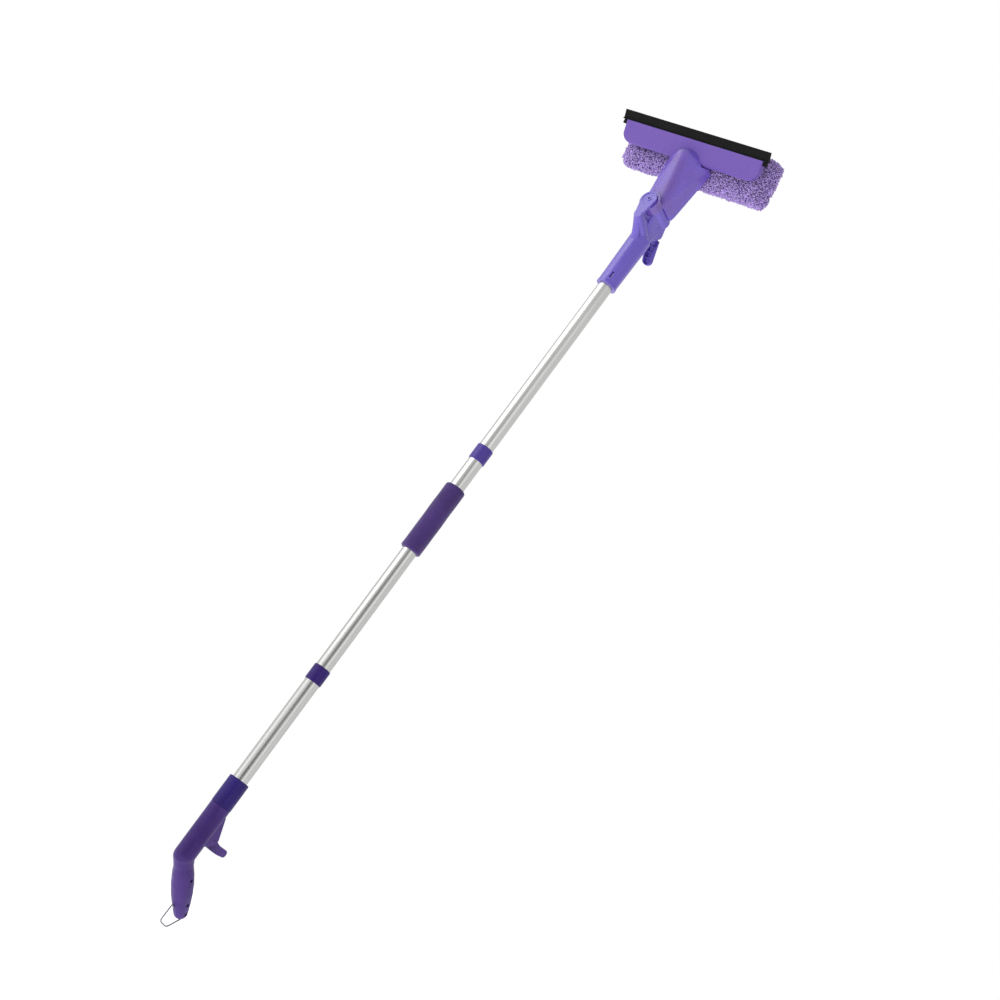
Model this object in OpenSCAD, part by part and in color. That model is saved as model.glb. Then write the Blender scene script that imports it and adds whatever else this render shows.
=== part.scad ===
// Window cleaning squeegee on a three-section pole, with a trigger-released swivel head.
// Millimetres, +Z up along the pole.  The origin is on the pole axis, at the top rim of
// the handle collar: the handle is below it, the pole and the head are above it.
// +X runs along the blade, -Y is the blade side of the head, +Y is the pad side.

/* [Pole] */
// Outer diameter of all three pole tubes
tube_diameter = 22; // [18:0.5:26]
// Wall thickness of the tubes
tube_wall = 1; // [0.8:0.1:1.6]
// Visible length of the lower tube, handle collar to lower coupling
lower_length = 161; // [100:1:320]
// Visible length of the middle tube, between the two couplings
middle_length = 358; // [300:1:480]
// Visible length of the upper tube, upper coupling to head connector
upper_length = 300; // [180:1:420]
// Length of each coupling collar
collar_length = 24; // [18:1:34]
// How far the coupling collar stands out from the tube
collar_rise = 1.5; // [1.2:0.1:3]

/* [Foam grip] */
// Length of the foam sleeve on the middle tube
foam_length = 111; // [60:1:180]
// Outer diameter of the foam sleeve
foam_diameter = 31.5; // [28:0.5:40]
// Distance from the lower coupling up to the foam sleeve
foam_offset = 200; // [20:1:210]

/* [Handle] */
// Outer diameter of the handle barrel
handle_diameter = 29.2; // [28:0.2:34]
// Length of the collar nut at the top of the handle
nut_length = 42; // [34:1:60]
// Length of the pistol grip from the pole axis to its tip
grip_length = 101; // [90:1:125]
// Angle between the pistol grip and the downward pole axis
grip_angle = 47; // [40:1:55]
// How far the trigger reaches out from its pin
trigger_reach = 38; // [28:1:42]
// Depth of the steel hanging loop below its two wire ends
loop_drop = 26; // [16:1:34]

/* [Blade] */
// Length of the rubber blade
blade_length = 265; // [200:1:360]
// How far the rubber stands above the blade holder
blade_height = 14.5; // [10:0.5:20]
// Length of the blade holder plate
plate_length = 249; // [190:1:340]
// Height of the flat face of the blade holder
plate_height = 27; // [24:1:40]
// Forward lean of the blade holder
plate_tilt = 32; // [26:1:38]

/* [Pad] */
// Length of the microfibre pad
pad_length = 254; // [190:1:340]
// Height of the microfibre pad
pad_height = 74; // [64:1:100]
// Thickness of the microfibre pad with its carrier inside
pad_thickness = 30; // [28:1:40]
// Forward lean of the pad
pad_tilt = 16; // [10:1:20]

/* [Head] */
// Radius of the swivel drum at the foot of the neck
drum_radius = 16; // [15.5:0.5:18]
// Height of the blade holder top above the swivel axis
neck_height = 115; // [108:1:135]
// Wall thickness of the moulded neck
neck_wall = 2.6; // [2:0.2:3.4]
// Length of the pressed paddle on the lock lever
paddle_length = 48; // [40:1:60]

/* [Hidden] */
$fa = 5;
$fs = 0.6;
gap = 0.3;                              // clearance between parts that move
seat = 0.1;                             // clearance between parts that stay together
rt = tube_diameter / 2;                 // tube outer radius
ri = rt - tube_wall;                    // tube inner radius
rod_r = 4;                              // push rod radius
bore_r = rod_r + gap;
rc = rt + collar_rise;                  // coupling collar radius
rh = handle_diameter / 2;               // handle barrel radius
z_c1 = lower_length;                    // lower coupling, bottom
z_m = z_c1 + collar_length;             // middle tube, visible start
z_c2 = z_m + middle_length;             // upper coupling, bottom
z_u = z_c2 + collar_length;             // upper tube, visible start
z_con = z_u + upper_length;             // connector, bottom
con_h = 90;                             // connector socket height
con_r1 = max(15, rt + 3.6);             // connector radius, bottom
con_r2 = con_r1 + 1.5;                  // connector radius, top
z_led = z_con + con_h;                  // top face of the socket
z_piv = z_led + 45;                     // swivel axis
z_lev = z_piv - 18;                     // lock lever pin
y_lev = 19;
cheek_r = 14;                           // rear cheek radius
stem_x = 9.6;                           // half width of the stem under the cheek
house_x = 10.2;                         // half width of the lock lever housing
foot_cut = 18;                          // rise of the neck's foot, clear of the stem when turned
y_ear = -41.5;                          // front face of the ear disc
ear_r = drum_radius - 4;                // ear disc radius
y_floor = -34.7;                        // front face of the drum, behind the ear
y_drum = -22;                           // back face of the drum
y_split = -12;                          // parting plane of the neck
y_rear = 12;                            // back of the neck foot
plunge_z = z_piv + 9;                   // brake plunger axis
pin_r = 3;
tube_foot = -62;                        // lower tube, bottom end
y_trg = 22;                             // trigger pin
z_trg = -82;
arm = 22;                               // trigger pin to pole axis
z_elbow = -120;                         // grip axis meets pole axis
seam = 0.05;

// ---------------------------------------------------------------- helpers

// Cylinder along X from x0 to x1 through (y, z)
module cyl_x(r, x0, x1, y, z) {
    translate([x0, y, z]) rotate([0, 90, 0]) cylinder(r = r, h = x1 - x0);
}

// Cylinder along Y from y0 to y1 through (x, z)
module cyl_y(r, y0, y1, x, z) {
    translate([x, y0, z]) rotate([-90, 0, 0]) cylinder(r = r, h = y1 - y0);
}

// Box given by two opposite corners
module box(a, b) {
    translate(a) cube(b - a);
}

// Flat outline in the (y, z) plane pushed along X from x0 to x1
module along_x(x0, x1) {
    translate([x0, 0, 0]) rotate([90, 0, 90]) linear_extrude(height = x1 - x0) children();
}

// Rounded rectangle between two corners, one radius
module rrect(x0, x1, y0, y1, r) {
    translate([x0 + r, y0]) square([x1 - x0 - 2 * r, y1 - y0]);
    translate([x0, y0 + r]) square([x1 - x0, y1 - y0 - 2 * r]);
    for (x = [x0 + r, x1 - r], y = [y0 + r, y1 - r]) translate([x, y]) circle(r = r);
}

// Block rounded in all three views, centred on X, from (y0, z0) to (y1, z1)
module soft_block(hx, y0, y1, z0, z1, rx, rz) {
    intersection() {
        translate([0, y1, 0]) rotate([90, 0, 0])
            linear_extrude(height = y1 - y0) rrect(-hx, hx, z0, z1, rx);
        along_x(-hx, hx) rrect(y0, y1, z0, z1, rz);
        translate([0, 0, z0]) linear_extrude(height = z1 - z0) rrect(-hx, hx, y0, y1, rz);
    }
}

// Point at distance s along the pistol grip axis, raised by p towards the trigger
function grip_at(s, p = 0) = [0, s * sin(grip_angle) + p * cos(grip_angle),
                              z_elbow - s * cos(grip_angle) + p * sin(grip_angle)];

// Quadratic curve through a and c, pulled towards b
function bend(a, b, c, n) = [for (i = [0 : n]) let (t = i / n)
    (1 - t) * (1 - t) * a + 2 * t * (1 - t) * b + t * t * c];

// Round corner at c on the way from a to b, starting and ending at distance d from it
function corner(a, c, b, d) = bend(c + d * (a - c) / norm(a - c), c, c + d * (b - c) / norm(b - c), 3);

// Round rod between two points
module rod_between(a, b, r) {
    d = b - a;
    translate(a) rotate([0, acos(d[2] / norm(d)), atan2(d[1], d[0])]) cylinder(r = r, h = norm(d));
}

// Straight wire with rounded ends
module wire(a, b, r) {
    rod_between(a, b, r);
    translate(a) sphere(r = r * 1.05);
    translate(b) sphere(r = r * 1.05);
}

// Open coil spring along +Z.  The level section of a coiled round wire is a crescent that
// reaches w degrees to each side, where the coil climbs one wire radius.
module coil(radius, wire_r, length, turns) {
    w = 360 * wire_r * turns / length;
    function half(t) = wire_r * sqrt(max(0.004, 1 - t * t));
    function at(r, t) = r * [cos(w * t), sin(w * t)];
    linear_extrude(height = length, twist = -360 * turns, slices = turns * 14, $fn = 6)
        polygon(concat([for (t = [-1 : 0.5 : 1]) at(radius + half(t), t)],
                       [for (t = [1 : -0.5 : -1]) at(radius - half(t), t)]));
}

// Countersunk screw: head at the origin, shank along +Z
module screw(r, head_r, head_h, length) {
    difference() {
        union() {
            cylinder(r = head_r, h = head_h);
            cylinder(r = r, h = length);
        }
        for (a = [0, 90]) rotate([0, 0, a])
            box([-head_r * 0.62, -0.45, -1], [head_r * 0.62, 0.45, head_h * 0.55]);
    }
}

// ---------------------------------------------------------------- pole

module tube(z0, z1) {
    translate([0, 0, z0]) difference() {
        cylinder(r = rt, h = z1 - z0);
        translate([0, 0, -1]) cylinder(r = ri, h = z1 - z0 + 2);
    }
}

web = 4;                                // solid web in the middle of a coupling
cup = (collar_length - web) / 2;        // depth of each tube cup

module lower_tube() {
    color([0.80, 0.81, 0.83]) tube(tube_foot, z_c1 + cup - seat);
}

module middle_tube() {
    color([0.80, 0.81, 0.83]) tube(z_m - cup + seat, z_c2 + cup - seat);
}

module upper_tube() {
    color([0.80, 0.81, 0.83]) tube(z_u - cup + seat, z_con + 44);
}

module coupling(z) {
    translate([0, 0, z]) difference() {
        union() {
            cylinder(r = rc, h = collar_length);
            translate([0, 0, -26]) cylinder(r = ri - seat, h = collar_length + 26 + 38);
        }
        for (e = [0, 1]) translate([0, 0, e ? collar_length - cup : -0.01]) difference() {
            cylinder(r = rt + seat, h = cup + 0.01);
            translate([0, 0, -1]) cylinder(r = ri - seat, h = cup + 3);
        }
        translate([0, 0, -30]) cylinder(r = bore_r, h = collar_length + 80);
        for (e = [0, 1]) translate([0, 0, e ? collar_length + 38 : -26])
            rotate_extrude() translate([ri - seat, 0]) rotate([0, 0, 45]) square(1.4, center = true);
        for (e = [0, 1]) translate([0, 0, e ? collar_length : 0])
            rotate_extrude() translate([rc, 0]) rotate([0, 0, 45]) square(0.9, center = true);
    }
}

module lower_coupling() {
    color([0.22, 0.17, 0.43]) coupling(z_c1);
}

module upper_coupling() {
    color([0.37, 0.31, 0.65]) coupling(z_c2);
}

module foam_grip() {
    color([0.32, 0.23, 0.50]) translate([0, 0, z_m + foam_offset]) difference() {
        rotate_extrude() union() {
            square([foam_diameter / 2 - 3, foam_length]);
            translate([0, 3]) square([foam_diameter / 2, foam_length - 6]);
            for (z = [3, foam_length - 3]) translate([foam_diameter / 2 - 3, z]) circle(r = 3);
        }
        translate([0, 0, -1]) cylinder(r = rt + seat, h = foam_length + 2);
    }
}

rod_z0 = z_trg + 5.4;                   // bottom of the rod stack
rod_z1 = z_c1 + collar_length + 22;     // first butt joint
rod_z2 = z_c2 + collar_length + 22;     // second butt joint
rod_z3 = z_lev - 3.4;                   // top of the rod stack

module rod(z0, z1) {
    translate([0, 0, z0]) {
        cylinder(r = rod_r, h = z1 - z0 - 1);
        translate([0, 0, z1 - z0 - 1]) cylinder(r1 = rod_r, r2 = rod_r - 0.8, h = 1);
    }
}

module lower_push_rod() {
    color([0.86, 0.86, 0.84]) rod(rod_z0, rod_z1);
}

module middle_push_rod() {
    color([0.86, 0.86, 0.84]) rod(rod_z1 + seam, rod_z2);
}

module upper_push_rod() {
    color([0.86, 0.86, 0.84]) rod(rod_z2 + seam, rod_z3);
}

// ---------------------------------------------------------------- handle

neck_r = rt + 1.9;                      // clamping neck of the shells under the nut

loop_a = grip_at(grip_length - 29, -rh - 0.5);      // wire end under the grip
grip_tip_r = rh - 4.8;                              // radius of the grip's rounded tip
loop_b = grip_at(grip_length - 7.6 + grip_tip_r, 0.5);  // wire end at the grip tip
loop_u = (loop_b - loop_a) / norm(loop_b - loop_a);

module handle_form() {
    translate([0, 0, -nut_length - 1]) cylinder(r = neck_r, h = nut_length - 3);
    hull() {
        translate([0, 0, z_elbow + 20]) cylinder(r = rh, h = -nut_length - 20.1 - z_elbow, $fn = 48);
        translate(grip_at(0)) sphere(r = rh, $fn = 48);
    }
    // waist under the elbow, then the swelling grip: distance along it and radius
    hull() {
        translate(grip_at(0)) sphere(r = rh - 0.3, $fn = 36);
        translate(grip_at(16)) sphere(r = rh - 1.3, $fn = 36);
    }
    hull() for (ball = [[16, -1.3], [30, 0.3], [44, 0.7], [58, 0.1], [74, -1.9], [grip_length - 10, grip_tip_r - rh]])
        translate(grip_at(ball[0])) sphere(r = rh + ball[1], $fn = 36);
    hull() {
        cyl_x(2, -9.5, 9.5, rh - 3, -nut_length - 10);
        cyl_x(7.5, -9.5, 9.5, y_trg, z_trg);
        cyl_x(2, -9.5, 9.5, rh - 5, z_trg - 13);
    }
}

module handle_shell(side) {
    difference() {
        intersection() {
            handle_form();
            if (side < 0) box([-60, -80, -260], [-seam / 2, 160, 10]);
            else box([seam / 2, -80, -260], [60, 160, 10]);
        }
        // seat of the tube, spring and rod chamber
        translate([0, 0, tube_foot - seat]) cylinder(r = rt + seat, h = 100);
        translate([0, 0, z_trg - 14]) cylinder(r = 8, h = 40);
        // room for the trigger
        box([-6.4, 3, z_trg - 17], [6.4, 60, z_trg + 12.5]);
        // pin and screws
        cyl_x(1.5, -8.2, 8.2, y_trg, z_trg);
        cyl_x(1.1, 8, 30, y_trg, z_trg);
        difference() {
            hull() {
                translate(grip_at(14)) sphere(r = rh - 3.8, $fn = 24);
                translate(grip_at(45)) sphere(r = rh - 2.2, $fn = 24);
                translate(grip_at(grip_length - 14)) sphere(r = 6.5, $fn = 24);
            }
            for (s = [34, 74, 90]) {
                p = grip_at(s, s < 40 ? 3 : 1);
                cyl_x(3.6, -20, 20, p[1], p[2]);
            }
            // blind sockets of the hanging loop stay solid
            rod_between(loop_a, loop_a + 12 * loop_u, 3.4);
            rod_between(loop_b - 12 * loop_u, loop_b, 3.4);
            box([-60, -80, z_trg - 17 - 2.6], [60, 60, 10]);
        }
        for (s = [34, 74, 90]) {
            p = grip_at(s, s < 40 ? 3 : 1);
            cyl_x(1.3, -7.6, 9, p[1], p[2]);
            cyl_x(2.7, 7, 30, p[1], p[2]);
        }
        rod_between(loop_a - 4 * loop_u, loop_a + 8.6 * loop_u, 1.3);
        rod_between(loop_b - 8.6 * loop_u, loop_b + 4 * loop_u, 1.3);
    }
}

module handle_shell_left() {
    color([0.27, 0.20, 0.44]) handle_shell(-1);
}

module handle_shell_right() {
    color([0.27, 0.20, 0.44]) handle_shell(1);
}

module handle_collar() {
    color([0.17, 0.13, 0.32]) difference() {
        translate([0, 0, -nut_length]) cylinder(r = rh + 0.4, h = nut_length);
        translate([0, 0, -nut_length - 1]) cylinder(r = neck_r + seat, h = nut_length - 2);
        cylinder(r = rt + seat, h = 99, center = true);
        for (z = [0, -nut_length]) translate([0, 0, z])
            rotate_extrude() translate([rh + 0.4, 0]) rotate([0, 0, 45]) square(1.4, center = true);
    }
}

module handle_screws() {
    color([0.25, 0.25, 0.27]) for (s = [34, 74, 90]) {
        p = grip_at(s, s < 40 ? 3 : 1);
        translate([8.9, p[1], p[2]]) rotate([0, -90, 0]) screw(1.28, 2.5, 1.9, 16);
    }
}

module trigger() {
    tip = [y_trg + trigger_reach, z_trg - 6.6];
    color([0.27, 0.20, 0.44]) difference() {
        union() {
            cyl_x(6.9, -6, 6, y_trg, z_trg);
            along_x(-6, 6) {
                polygon(concat(
                    bend([y_trg + 5.5, z_trg + 4.2], [y_trg + 14, z_trg - 3.2], tip + [1, 5.3], 10),
                    bend(tip + [-0.4, -5.4], [y_trg + 15, z_trg - 15.5], [y_trg - 4.5, z_trg - 11.6], 10),
                    [[y_trg - 6.8, z_trg - 4]]));
                translate(tip) circle(r = 5.4);
            }
            along_x(-3.4, 3.4) {
                polygon([[y_trg, z_trg - 5], [y_trg, z_trg + 5], [0.4, z_trg + 5], [0.4, z_trg - 2]]);
                translate([0.4, z_trg + 1.5]) circle(r = 3.5);
            }
        }
        cyl_x(1.56, -9, 9, y_trg, z_trg);
    }
}

module trigger_pin() {
    color([0.62, 0.62, 0.64]) cyl_x(1.5, -8.1, 8.1, y_trg, z_trg);
}

module trigger_spring() {
    color([0.70, 0.70, 0.72]) translate([0, 0, z_trg + 6.2]) coil(5.4, 0.5, 12.6, 5);
}

module hanging_loop() {
    // two straight legs and a lower bar, with round corners, all in the plane of the grip
    c1 = loop_a + [0, -1, -loop_drop];
    c2 = loop_b + [0, -0.6 * loop_drop, -0.72 * loop_drop];
    route = concat([loop_a], corner(loop_a, c1, c2, 5), corner(c1, c2, loop_b, 5), [loop_b]);
    color([0.72, 0.72, 0.74]) {
        wire(loop_a + 7 * loop_u, loop_a, 1);
        for (i = [1 : len(route) - 1]) wire(route[i - 1], route[i], 1);
        wire(loop_b, loop_b - 7 * loop_u, 1);
    }
}

// ---------------------------------------------------------------- connector and lock

module connector_body() {
    color([0.46, 0.41, 0.76]) difference() {
        union() {
            translate([0, 0, z_con]) cylinder(r1 = con_r1, r2 = con_r2, h = con_h);
            translate([0, 0, z_con]) cylinder(r = con_r1 + 0.6, h = 3.5);
            // rear cheek that carries the swivel pin
            cyl_y(cheek_r, y_drum + gap, y_lev - 3, 0, z_piv);
            hull() {
                translate([0, 2.5, z_led - 2]) cylinder(r = 11.5, h = 2);
                box([-stem_x, y_drum + gap, z_piv - 13], [stem_x, y_lev - 3, z_piv - 8]);
            }
            // hump under the drum, from the ear back to the stem
            hull() {
                translate([0, 0, z_led - 3]) cylinder(r = 13.5, h = 3);
                cyl_y(6.5, y_ear + 0.2, y_ear + 4, 0, z_piv - drum_radius - 12);
                cyl_y(8, y_drum, y_drum + 8, 0, z_piv - drum_radius - 13);
            }
            // housing of the lock lever
            hull() {
                cyl_x(6.4, -house_x, house_x, y_lev - 0.5, z_lev);
                cyl_x(3, -house_x, house_x, 6, z_lev - 22);
                cyl_x(3, -house_x, house_x, y_lev - 7, z_piv + 5);
            }
            // front ear: disc, then a strut down to the socket
            hull() {
                cyl_y(ear_r, y_ear, y_ear + 3.7, 0, z_piv);
                cyl_y(6.5, y_ear, y_ear + 3.7, 0, z_piv - drum_radius - 8);
            }
            cyl_y(ear_r, y_ear, y_floor - gap, 0, z_piv);
            hull() {
                cyl_y(6.5, y_ear + 0.1, y_ear + 3.7, 0, z_piv - drum_radius - 8);
                cyl_y(6.5, -con_r2 + 2.5, -con_r2 + 5, 0, z_led - 7);
            }
        }
        // tube socket and rod passage
        translate([0, 0, z_con - 1]) cylinder(r = rt + seat, h = 45.2);
        translate([0, 0, z_con]) cylinder(r = bore_r, h = z_lev - 6 - z_con);
        // chamber of the toe and the finger
        box([-4.5, -6, z_lev - 7], [4.5, y_lev + 20, z_lev + 9.5]);
        box([-4.5, 10.3, z_lev - 7], [4.5, y_lev + 20, z_piv + 40]);
        box([-4.5, y_lev - 3, z_lev - 30], [4.5, y_lev + 20, z_lev]);
        cyl_x(1.5, -9, 9, y_lev, z_lev);
        // swivel pin, driver hole in the ear, brake bore
        cyl_y(pin_r, -39, 8.4, 0, z_piv);
        cyl_y(1.8, y_ear - 1, -38, 0, z_piv);
        // sunk face of the ear inside its rim, with a boss round the driver hole
        difference() {
            cyl_y(ear_r - 1.9, y_ear - 1, y_ear + 0.9, 0, z_piv);
            cyl_y(3.6, y_ear - 2, y_ear + 2, 0, z_piv);
        }
        cyl_y(2.83, y_drum - 5, 20, 0, plunge_z);
        // clearance around the turning drum
        difference() {
            cyl_y(drum_radius + 0.6, y_ear + 3.7, y_drum + gap, 0, z_piv);
            cyl_y(ear_r, y_ear + 3, y_floor - gap, 0, z_piv);
        }
        // drain slot near the mouth
        box([5, -con_r1 - 3, z_con + 9], [8, -con_r1 + 1.3 + 4, z_con + 20]);
    }
}

paddle_r = 7.5;                         // half width of the paddle, and radius of its tip
paddle_wall = 1.6;

// Straight-sided outline of the paddle with a round tip, pushed through its depth
module paddle_outline(r) {
    translate([0, 20, 0]) rotate([90, 0, 0]) linear_extrude(height = 40) {
        translate([-r, paddle_r - paddle_length]) square([2 * r, paddle_length - paddle_r]);
        translate([0, paddle_r - paddle_length]) circle(r = r);
    }
}

// Spoon-shaped paddle: y out from the pole, z up along it, hollow towards the pole with ribs
module paddle() {
    end = -paddle_length;
    rotate([30, 0, 0]) difference() {
        intersection() {
            along_x(-paddle_r, paddle_r) polygon([[6, -9], [8, -9], [8, end + 3], [7, end], [5, end],
                                                  [2.4, end + 3], [0.4, end + 13], [1.2, -25], [5, -13]]);
            paddle_outline(paddle_r);
        }
        difference() {
            intersection() {
                box([-20, -5, end], [20, 8 - paddle_wall, -12.5]);
                paddle_outline(paddle_r - paddle_wall);
            }
            for (z = [-18, -27, -36]) box([-20, 2.4, z - 1.4], [20, 10, z]);
        }
    }
}

// Everything of the lever in its own frame: pin at the origin, u down the paddle
module lock_lever() {
    u = [sin(30), -cos(30)];            // along the paddle in (y, z)
    m = [cos(30), sin(30)];             // outwards from the pole
    color([0.42, 0.36, 0.72]) translate([0, y_lev, z_lev]) difference() {
        union() {
            cyl_x(5.4, -4.1, 4.1, 0, 0);
            // toe over the push rod
            along_x(-4.1, 4.1) {
                polygon([[0, -3.4], [0, 3], [-y_lev, 2.6], [-y_lev, -2.95], [5.5 - y_lev, -1], [-8, -1.6]]);
                translate([-y_lev, 0]) circle(r = 3);
            }
            // finger behind the brake plunger
            along_x(-3.6, 3.6) {
                polygon([[-4.4, 0], [4, 0], [-3.2, plunge_z - z_lev + 1], [-7.9, plunge_z - z_lev - 1]]);
                translate([-5.5, plunge_z - z_lev]) circle(r = 2.7);
            }
            // neck of the paddle
            along_x(-4.1, 4.1) polygon([2.6 * m, 7.6 * m, 7.6 * m + 16 * u, 2.6 * m + 16 * u, -2 * m + 8 * u]);
            paddle();
        }
        cyl_x(1.56, -9, 9, 0, 0);
        cyl_x(1.6, -9, 9, -9.5, 4.4);
    }
}

module lever_pin() {
    color([0.62, 0.62, 0.64]) cyl_x(1.5, -8.9, 8.9, y_lev, z_lev);
}

module lever_spring() {
    color([0.70, 0.70, 0.72]) translate([0, 4.4, z_lev + 3.2]) coil(1.9, 0.35, 5.7, 4);
}

module brake_plunger() {
    color([0.66, 0.66, 0.68]) {
        cyl_y(2.76, y_drum + 2.6, 10.2, 0, plunge_z);
    }
}

module brake_tip() {
    color([0.12, 0.12, 0.13]) cyl_y(2.76, y_drum + gap, y_drum + 2.55, 0, plunge_z);
}

module swivel_pin() {
    color([0.62, 0.62, 0.64]) difference() {
        cyl_y(pin_r, -38.9, 8.3, 0, z_piv);
        cyl_y(1, 6.5, 9, 0, z_piv);
    }
}

// ---------------------------------------------------------------- neck

dome = [0, -30, z_piv + 86];            // centre of the dome over the blade holder
fin_z = z_piv + neck_height - 26;       // lower corners of the flared back

// Outer form of the neck, shrunk by w for the hollow inside
module neck_form(w) {
    hull() {
        cyl_y(drum_radius - w, -27 + w, y_rear - w, 0, z_piv + 2, $fn = 48);
        translate(dome) sphere(r = drum_radius - w, $fn = 40);
        for (x = [-15, 15]) translate(dome + [x, 10, -3]) sphere(r = 13 - w, $fn = 32);
        for (x = [-33, 33]) cyl_y(4 - min(w, 2.4), -14 + w, -4 - w, x, fin_z);
        for (x = [-22, 22]) cyl_y(4 - min(w, 2.4), -14 + w, -7 - w, x, fin_z + 13);
    }
}

module neck_hollow() {
    difference() {
        neck_form(neck_wall);
        // solid foot around the swivel pin
        box([-40, -80, z_piv - 40], [40, 40, z_piv + drum_radius + 4]);
        // screw bosses across the parting plane
        for (z = [z_piv + 34, z_piv + 66]) cyl_y(4, -60, 40, 0, z);
        plate_frame() for (x = [-9, 9]) translate([x, 1, -24]) rotate([90, 0, 0]) cylinder(r = 3.6, h = 40);
    }
}

// Everything under the sloping ends of the neck's foot, from y0 to y1
module foot_room(y0, y1) {
    reach = 40;
    translate([0, y1, z_piv]) rotate([90, 0, 0]) linear_extrude(height = y1 - y0)
        polygon([[0, 0], [reach, reach * tan(foot_cut)], [reach, -reach],
                 [-reach, -reach], [-reach, reach * tan(foot_cut)]]);
}

module neck_front() {
    color([0.50, 0.43, 0.76]) difference() {
        union() {
            intersection() {
                neck_form(0);
                box([-60, -80, z_piv - 40], [60, y_split - seam / 2, z_piv + 160]);
            }
            cyl_y(drum_radius, y_ear + 4, y_drum, 0, z_piv);
        }
        // recess of the ear disc, swivel pin bore
        cyl_y(ear_r + 0.5, y_ear, y_floor, 0, z_piv);
        cyl_y(pin_r + 0.06, -60, 0, 0, z_piv);
        // room for the rear cheek below the saddle
        difference() {
            cyl_y(cheek_r + gap + 0.2, y_drum, y_split + 1, 0, z_piv);
            cyl_y(drum_radius + 1, y_drum - 10, y_drum, 0, z_piv);
        }
        foot_room(y_drum, y_split + 1);
        neck_hollow();
        // screws, plate seat
        for (z = [z_piv + 34, z_piv + 66]) cyl_y(1.3, y_split - 11, 0, 0, z);
        plate_frame() {
            box([-140, -0.05, -plate_height - 7.05], [140, 12, 40]);
            for (x = [-9, 9]) translate([x, 0, -24]) rotate([90, 0, 0]) cylinder(r = 1.3, h = 9);
        }
    }
}

module neck_rear() {
    color([0.47, 0.40, 0.73]) difference() {
        union() {
            intersection() {
                neck_form(0);
                box([-60, y_split + seam / 2, z_piv - 40], [60, 80, z_piv + 160]);
            }
            // bridge to the pad carrier
            pad_frame() box([-34, pad_y0 - 4, -25], [34, pad_y0 + 5.6, 1]);
        }
        // saddle over the rear cheek
        cyl_y(cheek_r + gap + 0.2, -30, 60, 0, z_piv);
        foot_room(-30, 60);
        // room behind for the finger of the lock lever
        box([-30, 9.7, z_piv - 1], [30, 60, z_piv + 17]);
        neck_hollow();
        for (z = [z_piv + 34, z_piv + 66]) {
            cyl_y(1.5, -20, 60, 0, z);
            cyl_y(3, y_split + 4, 60, 0, z);
        }
        pad_frame() {
            for (x = [-24, 24], z = [-18, -6]) translate([x, pad_y0 + 8, z]) rotate([90, 0, 0]) cylinder(r = 1.3, h = 10);
            box([-140, pad_y0 + 5.6, -60], [140, 60, 60]);
        }
        plate_frame() box([-140, -0.05, -plate_height - 7.05], [140, 9.6, 40]);
    }
}

module neck_screws() {
    color([0.25, 0.25, 0.27]) for (z = [z_piv + 34, z_piv + 66])
        translate([0, y_split + 5.9, z]) rotate([90, 0, 0]) screw(1.28, 2.7, 1.9, 16);
}

// ---------------------------------------------------------------- blade

// Frame of the blade holder: z up along its face, y into it, origin at the top edge
module plate_frame() {
    translate([0, -41, z_piv + neck_height]) rotate([plate_tilt, 0, 0]) children();
}

plate_t = 9;                            // depth of the holder rim

// Outline of the holder: square top, large lower corners.  It may pass above the top edge.
module plate_outline(hx, h, r) {
    translate([-hx, -h + r]) square([2 * hx, h - r]);
    translate([-hx + r, -h]) square([2 * hx - 2 * r, h]);
    for (x = [-hx + r, hx - r]) translate([x, -h + r]) circle(r = r);
}

module blade_holder() {
    hx = plate_length / 2;
    h = plate_height + 6;
    color([0.50, 0.43, 0.76]) plate_frame() difference() {
        intersection() {
            // front outline with large lower corners
            translate([0, plate_t, 0]) rotate([90, 0, 0]) linear_extrude(height = plate_t)
                plate_outline(hx, h, 20);
            // side profile with a rolled lower lip
            along_x(-hx, hx) {
                translate([0, -h + 6]) square([plate_t, h - 6]);
                translate([6, -h]) square([plate_t - 6, h]);
                translate([6, -h + 6]) circle(r = 6);
            }
            // plan outline with rounded ends
            translate([0, 0, -h - 1]) linear_extrude(height = h + 2) {
                translate([-hx, 3]) square([2 * hx, plate_t - 3]);
                rrect(-hx, hx, 0, plate_t, 3);
            }
        }
        // open back, leaving the channel band along the top
        difference() {
            intersection() {
                box([-hx + 2.6, 2.6, -h + 2.8], [hx - 2.6, 20, -9.6]);
                translate([0, 20, 0]) rotate([90, 0, 0]) linear_extrude(height = 20)
                    plate_outline(hx - 2.6, h - 2.8, 17.4);
            }
            for (x = [-9, 9]) translate([x, 0, -24]) rotate([-90, 0, 0]) cylinder(r = 4, h = plate_t);
            for (x = [-0.75, -0.5, -0.25, 0.25, 0.5, 0.75])
                box([x * hx - 0.8, 0, -h], [x * hx + 0.8, plate_t - 1.5, 0]);
        }
        for (x = [-9, 9]) translate([x, 0, -24]) rotate([-90, 0, 0]) {
            cylinder(r = 1.5, h = 30, center = true);
            translate([0, 0, 3.4]) cylinder(r = 3, h = 30);
        }
        // channel of the rubber bead
        along_x(-hx - 1, hx + 1) {
            translate([4.5, -4.4]) circle(r = 2.35);
            translate([3.35, -4.4]) square([2.3, 10]);
        }
    }
}

module holder_screws() {
    color([0.25, 0.25, 0.27]) plate_frame() for (x = [-9, 9])
        translate([x, 5.3, -24]) rotate([90, 0, 0]) screw(1.28, 2.7, 1.8, 13);
}

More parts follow.
